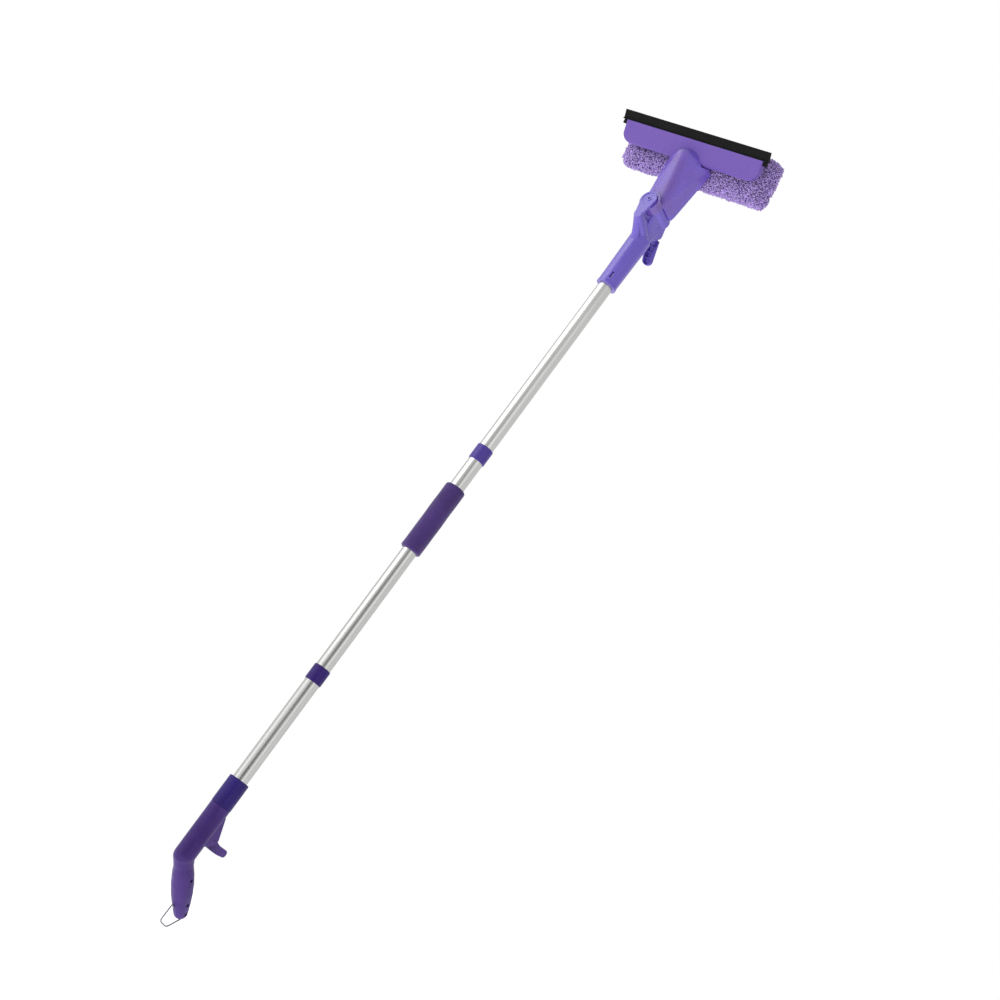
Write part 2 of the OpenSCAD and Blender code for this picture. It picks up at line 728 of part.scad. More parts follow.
module rubber_blade() {
    hb = blade_length / 2;
    color([0.09, 0.09, 0.10]) plate_frame() {
        along_x(-hb + 1.4, hb - 1.4) {
            translate([4.5, -4.4]) circle(r = 2.25);
            translate([3.5, -4.4]) square([2, 5]);
        }
        along_x(-hb, hb) {
            polygon([[1.3, 0.1], [7.6, 0.1], [7.6, 1.5], [5.9, 2.2], [3.0, 2.2], [1.3, 1.5]]);
            polygon([[3.2, 2.0], [5.8, 2.0], [3.6, blade_height], [2.2, blade_height]]);
        }
    }
}

// ---------------------------------------------------------------- pad

// Frame of the pad: z up along the pad, y towards its working face, origin at its middle
module pad_frame() {
    translate([0, 9.4, z_piv + neck_height - 4]) rotate([pad_tilt, 0, 0]) children();
}

pad_y0 = -pad_thickness / 2;            // front of the pad
pk_y0 = pad_y0 + 5.7;                   // front of the carrier
carrier_h = pad_height / 2 - 8;
carrier_x = pad_length / 2 - 9;

// Slab with the carrier's outline grown by g, from y0 to y1
module carrier_block(g, y0, y1) {
    translate([0, y1, 0]) rotate([90, 0, 0]) linear_extrude(height = y1 - y0)
        rrect(-carrier_x - g, carrier_x + g, -carrier_h - g, carrier_h + g, 9 + g);
}

module pad_carrier() {
    color([0.86, 0.86, 0.88]) pad_frame() difference() {
        carrier_block(0, pk_y0, pk_y0 + 4);
        for (x = [-24, 24], z = [-18, -6]) translate([x, 0, z]) rotate([90, 0, 0]) {
            cylinder(r = 1.5, h = 60, center = true);
            translate([0, 0, -pk_y0 - 2.1 - 20]) cylinder(r = 3, h = 20);
        }
        for (x = [-0.8 : 0.2 : 0.8]) if (abs(x) > 0.35)
            translate([x * carrier_x, 0, 0]) rotate([90, 0, 0]) cylinder(r = 5, h = 60, center = true);
    }
}

module carrier_screws() {
    color([0.25, 0.25, 0.27]) pad_frame() for (x = [-24, 24], z = [-18, -6])
        translate([x, pk_y0 + 3.9, z]) rotate([90, 0, 0]) screw(1.28, 2.7, 1.7, 11);
}

module pad_foam() {
    color([0.88, 0.86, 0.78]) pad_frame() carrier_block(-0.5, pk_y0 + 4.1, -pad_y0 - 8.2);
}

module microfibre_pad() {
    color([0.56, 0.45, 0.72]) pad_frame() difference() {
        soft_block(pad_length / 2, pad_y0, -pad_y0, -pad_height / 2, pad_height / 2, 16, 11);
        carrier_block(0.3, pk_y0 - 0.2, -pad_y0 - 8);
        box([-35.4, pad_y0 - 1, -26.4], [35.4, pk_y0 + 1, 4]);
    }
}

// ---------------------------------------------------------------- assembly

handle_shell_left();
handle_shell_right();
handle_collar();
handle_screws();
trigger();
trigger_pin();
trigger_spring();
hanging_loop();
lower_tube();
middle_tube();
upper_tube();
lower_coupling();
upper_coupling();
foam_grip();
lower_push_rod();
middle_push_rod();
upper_push_rod();
connector_body();
lock_lever();
lever_pin();
lever_spring();
brake_plunger();
brake_tip();
swivel_pin();
neck_front();
neck_rear();
neck_screws();
blade_holder();
holder_screws();
rubber_blade();
pad_carrier();
carrier_screws();
pad_foam();
microfibre_pad();
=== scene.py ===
"""Looks of the window cleaning squeegee: plastics, metals, rubber, foam and microfibre pile.

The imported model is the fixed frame.  Hard parts keep their CAD shape and get a finish.  The soft
parts (foam sleeve, foam core, microfibre cover) are built here and stand for their CAD solids.
Everything is in metres: +Z up the pole, +X along the blade, -Y the blade side, +Y the pad side.
"""

import logging
import math
from dataclasses import dataclass
from enum import Enum
from typing import Any, Sequence

import bmesh
import bpy
import numpy as np
from mathutils import Matrix, Vector


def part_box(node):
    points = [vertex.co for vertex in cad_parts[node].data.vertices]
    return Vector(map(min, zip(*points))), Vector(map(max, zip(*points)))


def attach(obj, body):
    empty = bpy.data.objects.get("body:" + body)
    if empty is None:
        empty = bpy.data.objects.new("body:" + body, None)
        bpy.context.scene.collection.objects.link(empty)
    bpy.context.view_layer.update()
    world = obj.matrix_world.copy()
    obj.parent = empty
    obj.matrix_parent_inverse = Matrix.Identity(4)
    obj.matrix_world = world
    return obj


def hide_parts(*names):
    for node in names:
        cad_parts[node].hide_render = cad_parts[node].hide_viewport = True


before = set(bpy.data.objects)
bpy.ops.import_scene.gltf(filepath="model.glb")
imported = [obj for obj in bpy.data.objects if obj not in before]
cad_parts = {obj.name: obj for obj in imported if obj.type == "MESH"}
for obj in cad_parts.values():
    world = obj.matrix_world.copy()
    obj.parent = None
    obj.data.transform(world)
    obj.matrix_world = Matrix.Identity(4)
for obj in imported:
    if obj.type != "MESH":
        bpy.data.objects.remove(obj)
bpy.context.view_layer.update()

LOG = logging.getLogger("squeegee")
MM = 0.001
WELD = 1e-6  # metres within which two points are one
TINY = 1e-9  # metres, keeps a division away from zero
WHITE = (1.0, 1.0, 1.0, 1.0)
Socket = bpy.types.NodeSocket


class Tint(Enum):
    """Plain colours of the parts, as sRGB values from 0 to 255."""

    HEAD = (106, 80, 164)
    HEAD_WARM = (112, 84, 168)
    NECK = (112, 92, 200)
    CONNECTOR = (100, 82, 182)
    LEVER = (80, 62, 156)
    UPPER_COUPLING = (76, 60, 142)
    LOWER_COUPLING = (43, 27, 112)
    HANDLE = (54, 28, 100)
    HANDLE_RING = (38, 20, 92)
    TRIGGER = (79, 52, 130)
    ROD = (222, 222, 214)
    CARRIER = (222, 222, 228)
    ALUMINIUM = (196, 196, 194)
    STEEL = (176, 177, 182)
    WIRE = (128, 128, 134)
    BLACKED_STEEL = (70, 70, 76)
    RUBBER = (14, 14, 15)
    BRAKE = (34, 34, 36)
    SLEEVE = (67, 43, 111)
    CORE = (228, 222, 202)
    PILE = (186, 160, 224)
    # painted shade colour: roots of the pile loops, between the strands, and on the cover between the loops
    PILE_PAINTED_SHADE = (146, 120, 192)
    BACKING = (150, 124, 196)
    FLOOR = (238, 238, 240)

    def linear(self, gain: float = 1.0) -> tuple[float, float, float, float]:
        """Scene-linear colour with alpha 1.

        Args:
            gain: factor on the linear values, for a lighter or darker shade.

        Returns:
            Red, green, blue and alpha.
        """
        parts = [min(1.0, gain * _to_linear(c / 255)) for c in self.value]
        return (parts[0], parts[1], parts[2], 1.0)


def _to_linear(c: float) -> float:
    """One sRGB channel made linear; the constants are those of the sRGB curve.

    Args:
        c: channel value from 0 to 1.

    Returns:
        Scene-linear value from 0 to 1.
    """
    return c / 12.92 if c <= 0.04045 else ((c + 0.055) / 1.055) ** 2.4


# ---------------------------------------------------------------- node graphs


@dataclass(frozen=True)
class Spots:
    """A noise pattern and the part of its range that shows.

    Attributes:
        size_mm: width of a spot in millimetres.
        detail: octaves of the noise.
        roughness: strength of the finer octaves.
        low: noise value at which the pattern starts.
        high: noise value at which it is full.
        stretch: factor on the spot's size along X, Y and Z.
    """

    size_mm: float
    detail: float
    roughness: float
    low: float
    high: float
    stretch: tuple[float, float, float] = (1.0, 1.0, 1.0)


class NodeTree:
    """A node tree, with a short call for each kind of node that materials and surround share."""

    def __init__(self, tree: bpy.types.NodeTree) -> None:
        """Takes over a tree.

        Args:
            tree: Blender's own tree.
        """
        self.nodes = tree.nodes
        self.links = tree.links

    def add(self, kind: str, inputs: dict[Any, Any] | None = None, **settings: Any) -> bpy.types.Node:
        """Adds a node.

        Args:
            kind: Blender's type name of the node.
            inputs: a value or a socket to link for each input, by name or number.
            settings: attributes of the node itself.

        Returns:
            The new node.
        """
        made = self.nodes.new(kind)
        for key, value in settings.items():
            setattr(made, key, value)
        self.feed(made, inputs or {})
        return made

    def feed(self, node: bpy.types.Node, inputs: dict[Any, Any]) -> None:
        """Sets or links inputs of a node.

        Args:
            node: the node that takes them.
            inputs: a value or a socket for each input, by name or number.
        """
        for key, value in inputs.items():
            if isinstance(value, Socket):
                self.links.new(value, node.inputs[key])
            else:
                node.inputs[key].default_value = value

    def level(self, value: Socket, low: float, high: float, to_low: float, to_high: float) -> Socket:
        """Maps one range of a value to another, held at the ends.

        Args:
            value: the value to map.
            low: start of its range.
            high: end of its range.
            to_low: result at the start.
            to_high: result at the end.

        Returns:
            The mapped value.
        """
        made = self.add("ShaderNodeMapRange", {
            "Value": value, "From Min": low, "From Max": high, "To Min": to_low, "To Max": to_high})
        return made.outputs[0]

    def combine(self, a: Socket | float, b: Socket | float, operation: str = "ADD") -> Socket:
        """Joins two numbers by arithmetic.

        Args:
            a: first number.
            b: second number.
            operation: Blender's name of the sum, product or difference.

        Returns:
            The result.
        """
        return self.add("ShaderNodeMath", {0: a, 1: b}, operation=operation).outputs[0]


class Graph(NodeTree):
    """The node tree of one material, whose patterns all lie on Object coordinates."""

    BEVEL_SAMPLES = 6
    EDGE_COSINE = (0.80, 0.97)  # between the softened and the plain normal: an edge, then a face

    def __init__(self, name: str) -> None:
        """Starts a material with its principled shader and Object coordinates.

        Args:
            name: name of the material.
        """
        self.material = bpy.data.materials.new(name)
        self.material.use_nodes = True
        super().__init__(self.material.node_tree)
        self.shader = self.nodes["Principled BSDF"]
        self.coords = self.add("ShaderNodeTexCoord").outputs["Object"]

    def noise(self, size_mm: float, detail: float = 3.0, roughness: float = 0.5,
              stretch: Sequence[float] = (1.0, 1.0, 1.0)) -> Socket:
        """Soft noise whose blobs are about size_mm across.

        Args:
            size_mm: width of a blob in millimetres.
            detail: octaves of the noise.
            roughness: strength of the finer octaves.
            stretch: factor on the blob's size along X, Y and Z.

        Returns:
            The noise value, around 0.5.
        """
        scale = tuple(1.0 / s for s in stretch)
        spread = self.add("ShaderNodeMapping", {"Vector": self.coords, "Scale": scale})
        made = self.add("ShaderNodeTexNoise", {
            "Vector": spread.outputs[0], "Scale": 1.0 / (size_mm * MM),
            "Detail": detail, "Roughness": roughness})
        return made.outputs[0]

    def cells(self, size_mm: float) -> Socket:
        """Random cells, such as pores.

        Args:
            size_mm: width of a cell in millimetres.

        Returns:
            The distance from the middle of the cell.
        """
        made = self.add("ShaderNodeTexVoronoi", {
            "Vector": self.coords, "Scale": 1.0 / (size_mm * MM)}, feature="F1")
        return made.outputs["Distance"]

    def spots(self, pattern: Spots, to_low: float = 0.0, to_high: float = 1.0) -> Socket:
        """A noise pattern mapped to a range of numbers.

        Args:
            pattern: the noise and the part of its range that shows.
            to_low: result where the pattern is absent.
            to_high: result where it is full.

        Returns:
            The mapped value.
        """
        value = self.noise(pattern.size_mm, pattern.detail, pattern.roughness, pattern.stretch)
        return self.level(value, pattern.low, pattern.high, to_low, to_high)

    def blend(self, share: Socket, a: Any, b: Any) -> Socket:
        """Goes from one colour to another.

        Args:
            share: how much of the second colour shows, from 0 to 1.
            a: first colour, as a socket or as four numbers.
            b: second colour, likewise.

        Returns:
            The mixed colour.
        """
        made = self.add("ShaderNodeMix", {0: share, 6: a, 7: b}, data_type="RGBA")
        return made.outputs[2]

    def bump(self, height: Socket, depth_mm: float, under: Socket | None = None) -> Socket:
        """Normal bumped by a height.

        Args:
            height: the height pattern, from 0 to 1.
            depth_mm: real depth for a height of 1.
            under: normal that this one is laid over.

        Returns:
            The new normal.
        """
        made = self.add("ShaderNodeBump", {"Height": height, "Strength": 1.0, "Distance": depth_mm * MM})
        if under is not None:
            self.links.new(under, made.inputs["Normal"])
        return made.outputs[0]

    def rounded(self, radius_mm: float) -> tuple[Socket, Socket]:
        """Softened edges, only where an edge is really sharp.

        Args:
            radius_mm: radius of the softened edge.

        Returns:
            The softened normal, and a mask that is 1 on edges and 0 on faces.
        """
        soft = self.add("ShaderNodeBevel", {"Radius": radius_mm * MM},
                        samples=self.BEVEL_SAMPLES).outputs[0]
        flat = self.add("ShaderNodeNewGeometry").outputs["Normal"]
        same = self.add("ShaderNodeVectorMath", {0: soft, 1: flat}, operation="DOT_PRODUCT")
        edge = self.level(same.outputs["Value"], *self.EDGE_COSINE, 1.0, 0.0)
        near = self.add("ShaderNodeMix", {0: edge, 4: flat, 5: soft}, data_type="VECTOR")
        return near.outputs[1], edge

    def done(self, **inputs: Any) -> bpy.types.Material:
        """Feeds the principled shader.

        Args:
            inputs: a value or a socket for each input, with an underscore for a space in its name.

        Returns:
            The finished material.
        """
        self.feed(self.shader, {key.replace("_", " "): value for key, value in inputs.items()})
        return self.material


# ---------------------------------------------------------------- finishes


@dataclass(frozen=True)
class MouldedPlastic:
    """Injection-moulded plastic with a fine grain, faint flow marks and paler rubbed edges.

    Attributes:
        name: name of the material.
        tint: colour of the plastic.
        shade: second colour that slow flow marks drift to.
        roughness: how matt the surface is.
        grain_mm: width of the mould grain.
        grain_depth_mm: depth of the mould grain.
        coat: strength of the thin glossy skin.
        gloss: strength of the plastic's own reflection.
        worn: how much paler the rubbed edges are.
        edge_mm: radius of the softened edges.
        sink_mm: width of the slow sink marks.
        sink_depth_mm: depth of the sink marks.
        dust_share: how much dust the dustiest spots hold.
        dust_colour: linear colour of the dust.
    """

    FLOW = Spots(38.0, 2.0, 0.45, 0.35, 0.68, (1.0, 1.0, 2.2))
    RUB = Spots(9.0, 3.0, 0.6, 0.42, 0.62)
    DUST = Spots(2.6, 4.0, 0.62, 0.60, 0.78)
    SMEAR = Spots(17.0, 3.0, 0.6, 0.38, 0.66, (1.0, 1.0, 1.8))
    SHADE_GAIN, RUBBED_GAIN = 0.93, 1.9
    LEAST_RUB = 0.2
    POLISHED, DULLED = 0.05, 0.08

    name: str
    tint: Tint
    shade: Tint
    roughness: float = 0.34
    grain_mm: float = 0.45
    grain_depth_mm: float = 0.004
    coat: float = 0.05
    gloss: float = 0.18
    worn: float = 0.35
    edge_mm: float = 0.5
    sink_mm: float = 24.0
    sink_depth_mm: float = 0.10
    dust_share: float = 0.06
    dust_colour: tuple[float, float, float, float] = (0.62, 0.60, 0.68, 1.0)

    def material(self) -> bpy.types.Material:
        """Builds the material.

        Returns:
            The new material, with flow marks under rubbed edges, dust, smears and mould grain.
        """
        g = Graph(self.name)
        soft, edge = g.rounded(self.edge_mm)
        body = g.blend(g.spots(self.FLOW), self.tint.linear(), self.shade.linear(self.SHADE_GAIN))
        rubbed = g.combine(edge, g.spots(self.RUB, self.LEAST_RUB), "MULTIPLY")
        rubbed = g.combine(rubbed, self.worn, "MULTIPLY")
        colour = g.blend(rubbed, body, self.tint.linear(self.RUBBED_GAIN))
        colour = g.blend(g.spots(self.DUST, 0.0, self.dust_share), colour, self.dust_colour)
        smear = g.spots(self.SMEAR, self.roughness - self.POLISHED, self.roughness + self.DULLED)
        normal = g.bump(g.noise(self.grain_mm, 2.0, 0.6), self.grain_depth_mm, soft)
        normal = g.bump(g.noise(self.sink_mm, 2.0, 0.4), self.sink_depth_mm, normal)
        return g.done(Base_Color=colour, Roughness=smear, Normal=normal, Coat_Weight=self.coat,
                      Coat_Roughness=0.2, Specular_IOR_Level=self.gloss)


@dataclass(frozen=True)
class DrawnMetal:
    """Metal with fine draw lines, faint handling scratches and dull spots.

    Attributes:
        name: name of the material.
        tint: colour of the metal.
        roughness: how matt the surface is.
        lines_mm: width of a draw line.
        line_depth_mm: depth of a draw line.
        lengthwise: factor on the length of the lines along Z.
        cloud_mm: width of the dull clouds.
        scratch_share: how much a scratch darkens the metal.
    """

    SCRATCH = Spots(0.7, 2.0, 0.4, 0.71, 0.75, (1.0, 1.0, 34.0))
    BRIGHT_SUM = (0.75, 1.25)
    DULL_GAIN, BRIGHT_GAIN, SCRATCH_GAIN = 0.94, 1.02, 0.55
    POLISHED, DULLED = 0.03, 0.05

    name: str
    tint: Tint
    roughness: float = 0.30
    lines_mm: float = 1.6
    line_depth_mm: float = 0.0004
    lengthwise: float = 90.0
    cloud_mm: float = 26.0
    scratch_share: float = 0.10

    def material(self) -> bpy.types.Material:
        """Builds the material.

        Returns:
            The new material, bright where the lines and the clouds are both high.
        """
        g = Graph(self.name)
        lines = g.noise(self.lines_mm, 2.0, 0.5, (1.0, 1.0, self.lengthwise))
        cloud = g.noise(self.cloud_mm, 3.0, 0.55, (1.0, 1.0, 2.5))
        bright = g.level(g.combine(lines, cloud), *self.BRIGHT_SUM, 0.0, 1.0)
        colour = g.blend(bright, self.tint.linear(self.DULL_GAIN), self.tint.linear(self.BRIGHT_GAIN))
        scratch = g.spots(self.SCRATCH, 0.0, self.scratch_share)
        colour = g.blend(scratch, colour, self.tint.linear(self.SCRATCH_GAIN))
        rough = g.level(bright, 0.0, 1.0, self.roughness + self.DULLED, self.roughness - self.POLISHED)
        normal = g.bump(lines, self.line_depth_mm)
        return g.done(Base_Color=colour, Roughness=rough, Normal=normal, Metallic=1.0)


@dataclass(frozen=True)
class SolidRubber:
    """Moulded rubber with a chalky bloom, fine pits and a slightly paler rubbed edge.

    Attributes:
        name: name of the material.
        tint: colour of the rubber.
        roughness: how matt the surface is.
        edge_mm: radius of the softened edges.
        edge_share: how much paler the rubbed edges are.
        bloom_share: how much chalky bloom the palest spots hold.
        pit_mm: width of a pit.
        pit_depth_mm: depth of a pit.
    """

    BLOOM = Spots(14.0, 4.0, 0.6, 0.45, 0.75, (2.5, 1.0, 1.0))
    SMEAR = Spots(6.0, 3.0, 0.6, 0.35, 0.7)
    BLOOM_GAIN, RUBBED_GAIN = 2.6, 6.0
    POLISHED, DULLED = 0.08, 0.12

    name: str
    tint: Tint
    roughness: float = 0.46
    edge_mm: float = 0.3
    edge_share: float = 0.30
    bloom_share: float = 0.35
    pit_mm: float = 0.5
    pit_depth_mm: float = 0.015

    def material(self) -> bpy.types.Material:
        """Builds the material.

        Returns:
            The new material, with bloom, paler edges and pits drawn out along X.
        """
        g = Graph(self.name)
        soft, edge = g.rounded(self.edge_mm)
        bloom = g.spots(self.BLOOM, 0.0, self.bloom_share)
        colour = g.blend(bloom, self.tint.linear(), self.tint.linear(self.BLOOM_GAIN))
        rubbed = g.combine(edge, self.edge_share, "MULTIPLY")
        colour = g.blend(rubbed, colour, self.tint.linear(self.RUBBED_GAIN))
        rough = g.spots(self.SMEAR, self.roughness - self.POLISHED, self.roughness + self.DULLED)
        normal = g.bump(g.noise(self.pit_mm, 3.0, 0.6, (4.0, 1.0, 1.0)), self.pit_depth_mm, soft)
        return g.done(Base_Color=colour, Roughness=rough, Normal=normal, Specular_IOR_Level=0.08)


@dataclass(frozen=True)
class CellFoam:
    """Foam with pores, for the hand sleeve and for the core inside the pad.

    Attributes:
        name: name of the material.
        tint: colour of the foam.
        pore_mm: width of a pore.
        depth_mm: depth of a pore.
        sheen: strength of the soft bright rim.
        pore_shade_share: how much painted shade darkens the middle of a pore.
    """

    RUB = Spots(21.0, 3.0, 0.6, 0.36, 0.68, (1.0, 1.0, 1.7))
    DARK_GAIN, PALE_GAIN, PORE_GAIN = 0.84, 1.16, 0.45
    PORE_EDGE = 0.5
    GRAIN_SHARE = 0.6

    name: str
    tint: Tint
    pore_mm: float
    depth_mm: float
    sheen: float = 0.25
    pore_shade_share: float = 0.35

    def material(self) -> bpy.types.Material:
        """Builds the material.

        Returns:
            The new material, with painted shade in the pores and slow rubbed patches.
        """
        g = Graph(self.name)
        pores = g.cells(self.pore_mm)
        dark, pale = self.tint.linear(self.DARK_GAIN), self.tint.linear(self.PALE_GAIN)
        colour = g.blend(g.spots(self.RUB), dark, pale)
        # painted shade in the middle of each pore
        pore_shade = g.level(pores, 0.0, self.PORE_EDGE, self.pore_shade_share, 0.0)
        colour = g.blend(pore_shade, colour, self.tint.linear(self.PORE_GAIN))
        grain = g.combine(pores, g.noise(self.pore_mm * self.GRAIN_SHARE, 3.0, 0.6))
        normal = g.bump(grain, self.depth_mm)
        return g.done(Base_Color=colour, Roughness=0.82, Normal=normal, Sheen_Weight=self.sheen,
                      Sheen_Roughness=0.5, Specular_IOR_Level=0.3)


@dataclass(frozen=True)
class Microfibre:
    """Looped microfibre yarn: twisted strands, painted shade at the roots and between the strands, a soft
    sheen.

    Attributes:
        name: name of the material.
        tip: colour of the loops.
        root_shade_tint: painted shade colour deep between the loops.
        strand_mm: width of one strand of the yarn.
        strand_depth_mm: depth between two strands.
        strand_shade_share: how much painted shade shows between the strands.
        root_shade_share: how much painted shade shows at full depth.
    """

    CLUMP = Spots(8.0, 3.0, 0.6, 0.34, 0.66)
    BETWEEN_STRANDS = (0.35, 0.65)
    DARK_GAIN, PALE_GAIN, ROOT_GAIN = 0.78, 1.22, 0.95

    name: str
    tip: Tint
    root_shade_tint: Tint
    strand_mm: float = 0.35
    strand_depth_mm: float = 0.12
    strand_shade_share: float = 0.25
    root_shade_share: float = 0.6

    def material(self) -> bpy.types.Material:
        """Builds the material.

        Returns:
            The new material, with painted shade at the roots by the mesh attribute 'depth'.
        """
        g = Graph(self.name)
        depth = g.add("ShaderNodeAttribute", attribute_name="depth").outputs["Fac"]
        tip = g.blend(g.spots(self.CLUMP), self.tip.linear(self.DARK_GAIN), self.tip.linear(self.PALE_GAIN))
        strand = g.noise(self.strand_mm, 3.0, 0.6)
        # painted shade between the strands of the yarn
        strand_gap_shade = g.level(strand, *self.BETWEEN_STRANDS, self.strand_shade_share, 0.0)
        tip = g.blend(strand_gap_shade, tip, self.root_shade_tint.linear())
        # painted shade at the roots, growing with the mesh attribute 'depth'
        shaded_roots = g.combine(depth, self.root_shade_share, "MULTIPLY")
        colour = g.blend(shaded_roots, tip, self.root_shade_tint.linear(self.ROOT_GAIN))
        normal = g.bump(strand, self.strand_depth_mm)
        return g.done(Base_Color=colour, Roughness=0.88, Normal=normal, Sheen_Weight=0.45,
                      Sheen_Roughness=0.45, Specular_IOR_Level=0.2)


class Finishes:
    """One material for each finish, made once and shared by the parts that carry it."""

    def __init__(self) -> None:
        """Builds every material."""
        self.head = MouldedPlastic("head_plastic", Tint.HEAD, Tint.HEAD_WARM, 0.36).material()
        self.neck = MouldedPlastic(
            "neck_plastic", Tint.NECK, Tint.HEAD_WARM, 0.26, coat=0.35, gloss=0.35).material()
        self.connector = MouldedPlastic(
            "connector_plastic", Tint.CONNECTOR, Tint.NECK, 0.26, coat=0.35, gloss=0.35).material()
        self.lever = MouldedPlastic("lever_plastic", Tint.LEVER, Tint.CONNECTOR, 0.34).material()
        self.upper_coupling = MouldedPlastic(
            "upper_coupling_plastic", Tint.UPPER_COUPLING, Tint.LEVER, 0.30).material()
        self.lower_coupling = MouldedPlastic(
            "lower_coupling_plastic", Tint.LOWER_COUPLING, Tint.HANDLE, 0.30).material()
        self.handle = MouldedPlastic(
            "handle_plastic", Tint.HANDLE, Tint.TRIGGER, 0.38, grain_depth_mm=0.01).material()
        self.ring = MouldedPlastic("ring_plastic", Tint.HANDLE_RING, Tint.LOWER_COUPLING, 0.42).material()
        self.trigger = MouldedPlastic("trigger_plastic", Tint.TRIGGER, Tint.HANDLE, 0.38).material()
        self.rod = MouldedPlastic("rod_plastic", Tint.ROD, Tint.CARRIER, 0.45, worn=0.1).material()
        self.carrier = MouldedPlastic("carrier_plastic", Tint.CARRIER, Tint.ROD, 0.45, worn=0.1).material()
        self.tube = DrawnMetal("tube_aluminium", Tint.ALUMINIUM, 0.22).material()
        self.pin = DrawnMetal("pin_steel", Tint.STEEL, 0.26, lengthwise=1.0).material()
        self.spring = DrawnMetal("spring_steel", Tint.STEEL, 0.30, lengthwise=1.0).material()
        self.wire = DrawnMetal("wire_steel", Tint.WIRE, 0.24, 0.8, 0.0008, 6.0).material()
        self.screw = DrawnMetal("screw_steel", Tint.BLACKED_STEEL, 0.36, lengthwise=1.0).material()
        self.blade = SolidRubber("blade_rubber", Tint.RUBBER, 0.44).material()
        self.brake = SolidRubber("brake_rubber", Tint.BRAKE, 0.60).material()
        self.sleeve = CellFoam("grip_foam", Tint.SLEEVE, 0.9, 0.16).material()
        self.core = CellFoam("pad_foam", Tint.CORE, 1.6, 0.5, 0.1).material()
        self.pile = Microfibre("microfibre_pile", Tint.PILE, Tint.PILE_PAINTED_SHADE).material()
        self.backing = Microfibre("microfibre_backing", Tint.BACKING, Tint.PILE_PAINTED_SHADE, 0.8).material()


# ---------------------------------------------------------------- meshes


def new_mesh(name: str, points: np.ndarray, faces: np.ndarray) -> bpy.types.Object:
    """Object at the origin made of points and faces, all smooth.

    Args:
        name: name of the piece.
        points: array of shape (n, 3), in metres.
        faces: array of shape (m, corners) with point numbers.

    Returns:
        The new object, linked to the scene.
    """
    corners = faces.shape[1]
    mesh = bpy.data.meshes.new(name)
    mesh.vertices.add(len(points))
    mesh.vertices.foreach_set("co", points.astype(np.float32).ravel())
    mesh.loops.add(faces.size)
    mesh.loops.foreach_set("vertex_index", faces.astype(np.int32).ravel())
    mesh.polygons.add(len(faces))
    mesh.polygons.foreach_set("loop_start", np.arange(0, faces.size, corners, dtype=np.int32))
    mesh.polygons.foreach_set("use_smooth", np.ones(len(faces), dtype=bool))
    mesh.update(calc_edges=True)
    mesh.validate()
    made = bpy.data.objects.new(name, mesh)
    bpy.context.scene.collection.objects.link(made)
    return made


def grid_faces(rows: int, columns: int) -> np.ndarray:
    """Faces of a grid of rings, whose point j of ring i has number i * columns + j.

    Args:
        rows: number of rings.
        columns: points on each ring, which closes on itself.

    Returns:
        Array of shape (m, 4).
    """
    i, j = np.meshgrid(np.arange(rows - 1), np.arange(columns), indexing="ij")
    a = i * columns + j
    b = i * columns + (j + 1) % columns
    return np.stack([a, b, b + columns, a + columns], axis=-1).reshape(-1, 4)


def dress(piece: bpy.types.Object, material: bpy.types.Material) -> None:
    """Gives an object one material in place of what it had."""
    piece.data.materials.clear()
    piece.data.materials.append(material)


def dress_node(node: str, material: bpy.types.Material) -> None:
    """Gives a CAD node one material and reports it."""
    dress(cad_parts[node], material)
    LOG.info("%s takes %s", node, material.name)


def apply_modifiers(piece: bpy.types.Object) -> None:
    """Replaces a piece's mesh by what its modifiers make of it.

    Args:
        piece: the piece, which is left without modifiers.
    """
    bpy.context.view_layer.update()
    shown = piece.evaluated_get(bpy.context.evaluated_depsgraph_get())
    mesh = bpy.data.meshes.new_from_object(shown)
    piece.modifiers.clear()
    piece.data = mesh


def mesh_points(mesh: bpy.types.Mesh) -> np.ndarray:
    """Reads the points of a mesh.

    Args:
        mesh: the mesh to read.

    Returns:
        Array of shape (n, 3), in metres.
    """
    flat = np.empty(len(mesh.vertices) * 3, np.float32)
    mesh.vertices.foreach_get("co", flat)
    return flat.reshape(-1, 3).astype(float)


def move_points(mesh: bpy.types.Mesh, points: np.ndarray) -> None:
    """Puts the points of a mesh at new places, given as an array of shape (n, 3)."""
    mesh.vertices.foreach_set("co", points.astype(np.float32).ravel())
    mesh.update()


def store(mesh: bpy.types.Mesh, name: str, values: np.ndarray) -> None:
    """Writes one number for each point of a mesh, for a material to read.

    Args:
        mesh: the mesh that carries the numbers.
        name: name of the attribute.
        values: one number for each point.
    """
    held = mesh.attributes.get(name) or mesh.attributes.new(name, "FLOAT", "POINT")
    held.data.foreach_set("value", values.astype(np.float32))


def close_poles(piece: bpy.types.Object) -> None:
    """Welds the points that meet at a slab's two poles and turns the faces outwards.

    Args:
        piece: the slab, whose mesh is changed.
    """
    work = bmesh.new()
    work.from_mesh(piece.data)
    bmesh.ops.remove_doubles(work, verts=work.verts, dist=WELD)
    bmesh.ops.recalc_face_normals(work, faces=work.faces)
    work.to_mesh(piece.data)
    work.free()
    piece.data.update()


def moved(matrix: Matrix, points: np.ndarray) -> np.ndarray:
    """Moves points by a matrix.

    Args:
        matrix: the turn and the shift.
        points: array of shape (n, 3).

    Returns:
        The moved points.
    """
    m = np.array(matrix)
    return points @ m[:3, :3].T + m[:3, 3]


def raised(value: np.ndarray, p: float) -> np.ndarray:
    """Value to the power 2/p with its sign kept."""
    return np.sign(value) * np.abs(value) ** (2 / p)


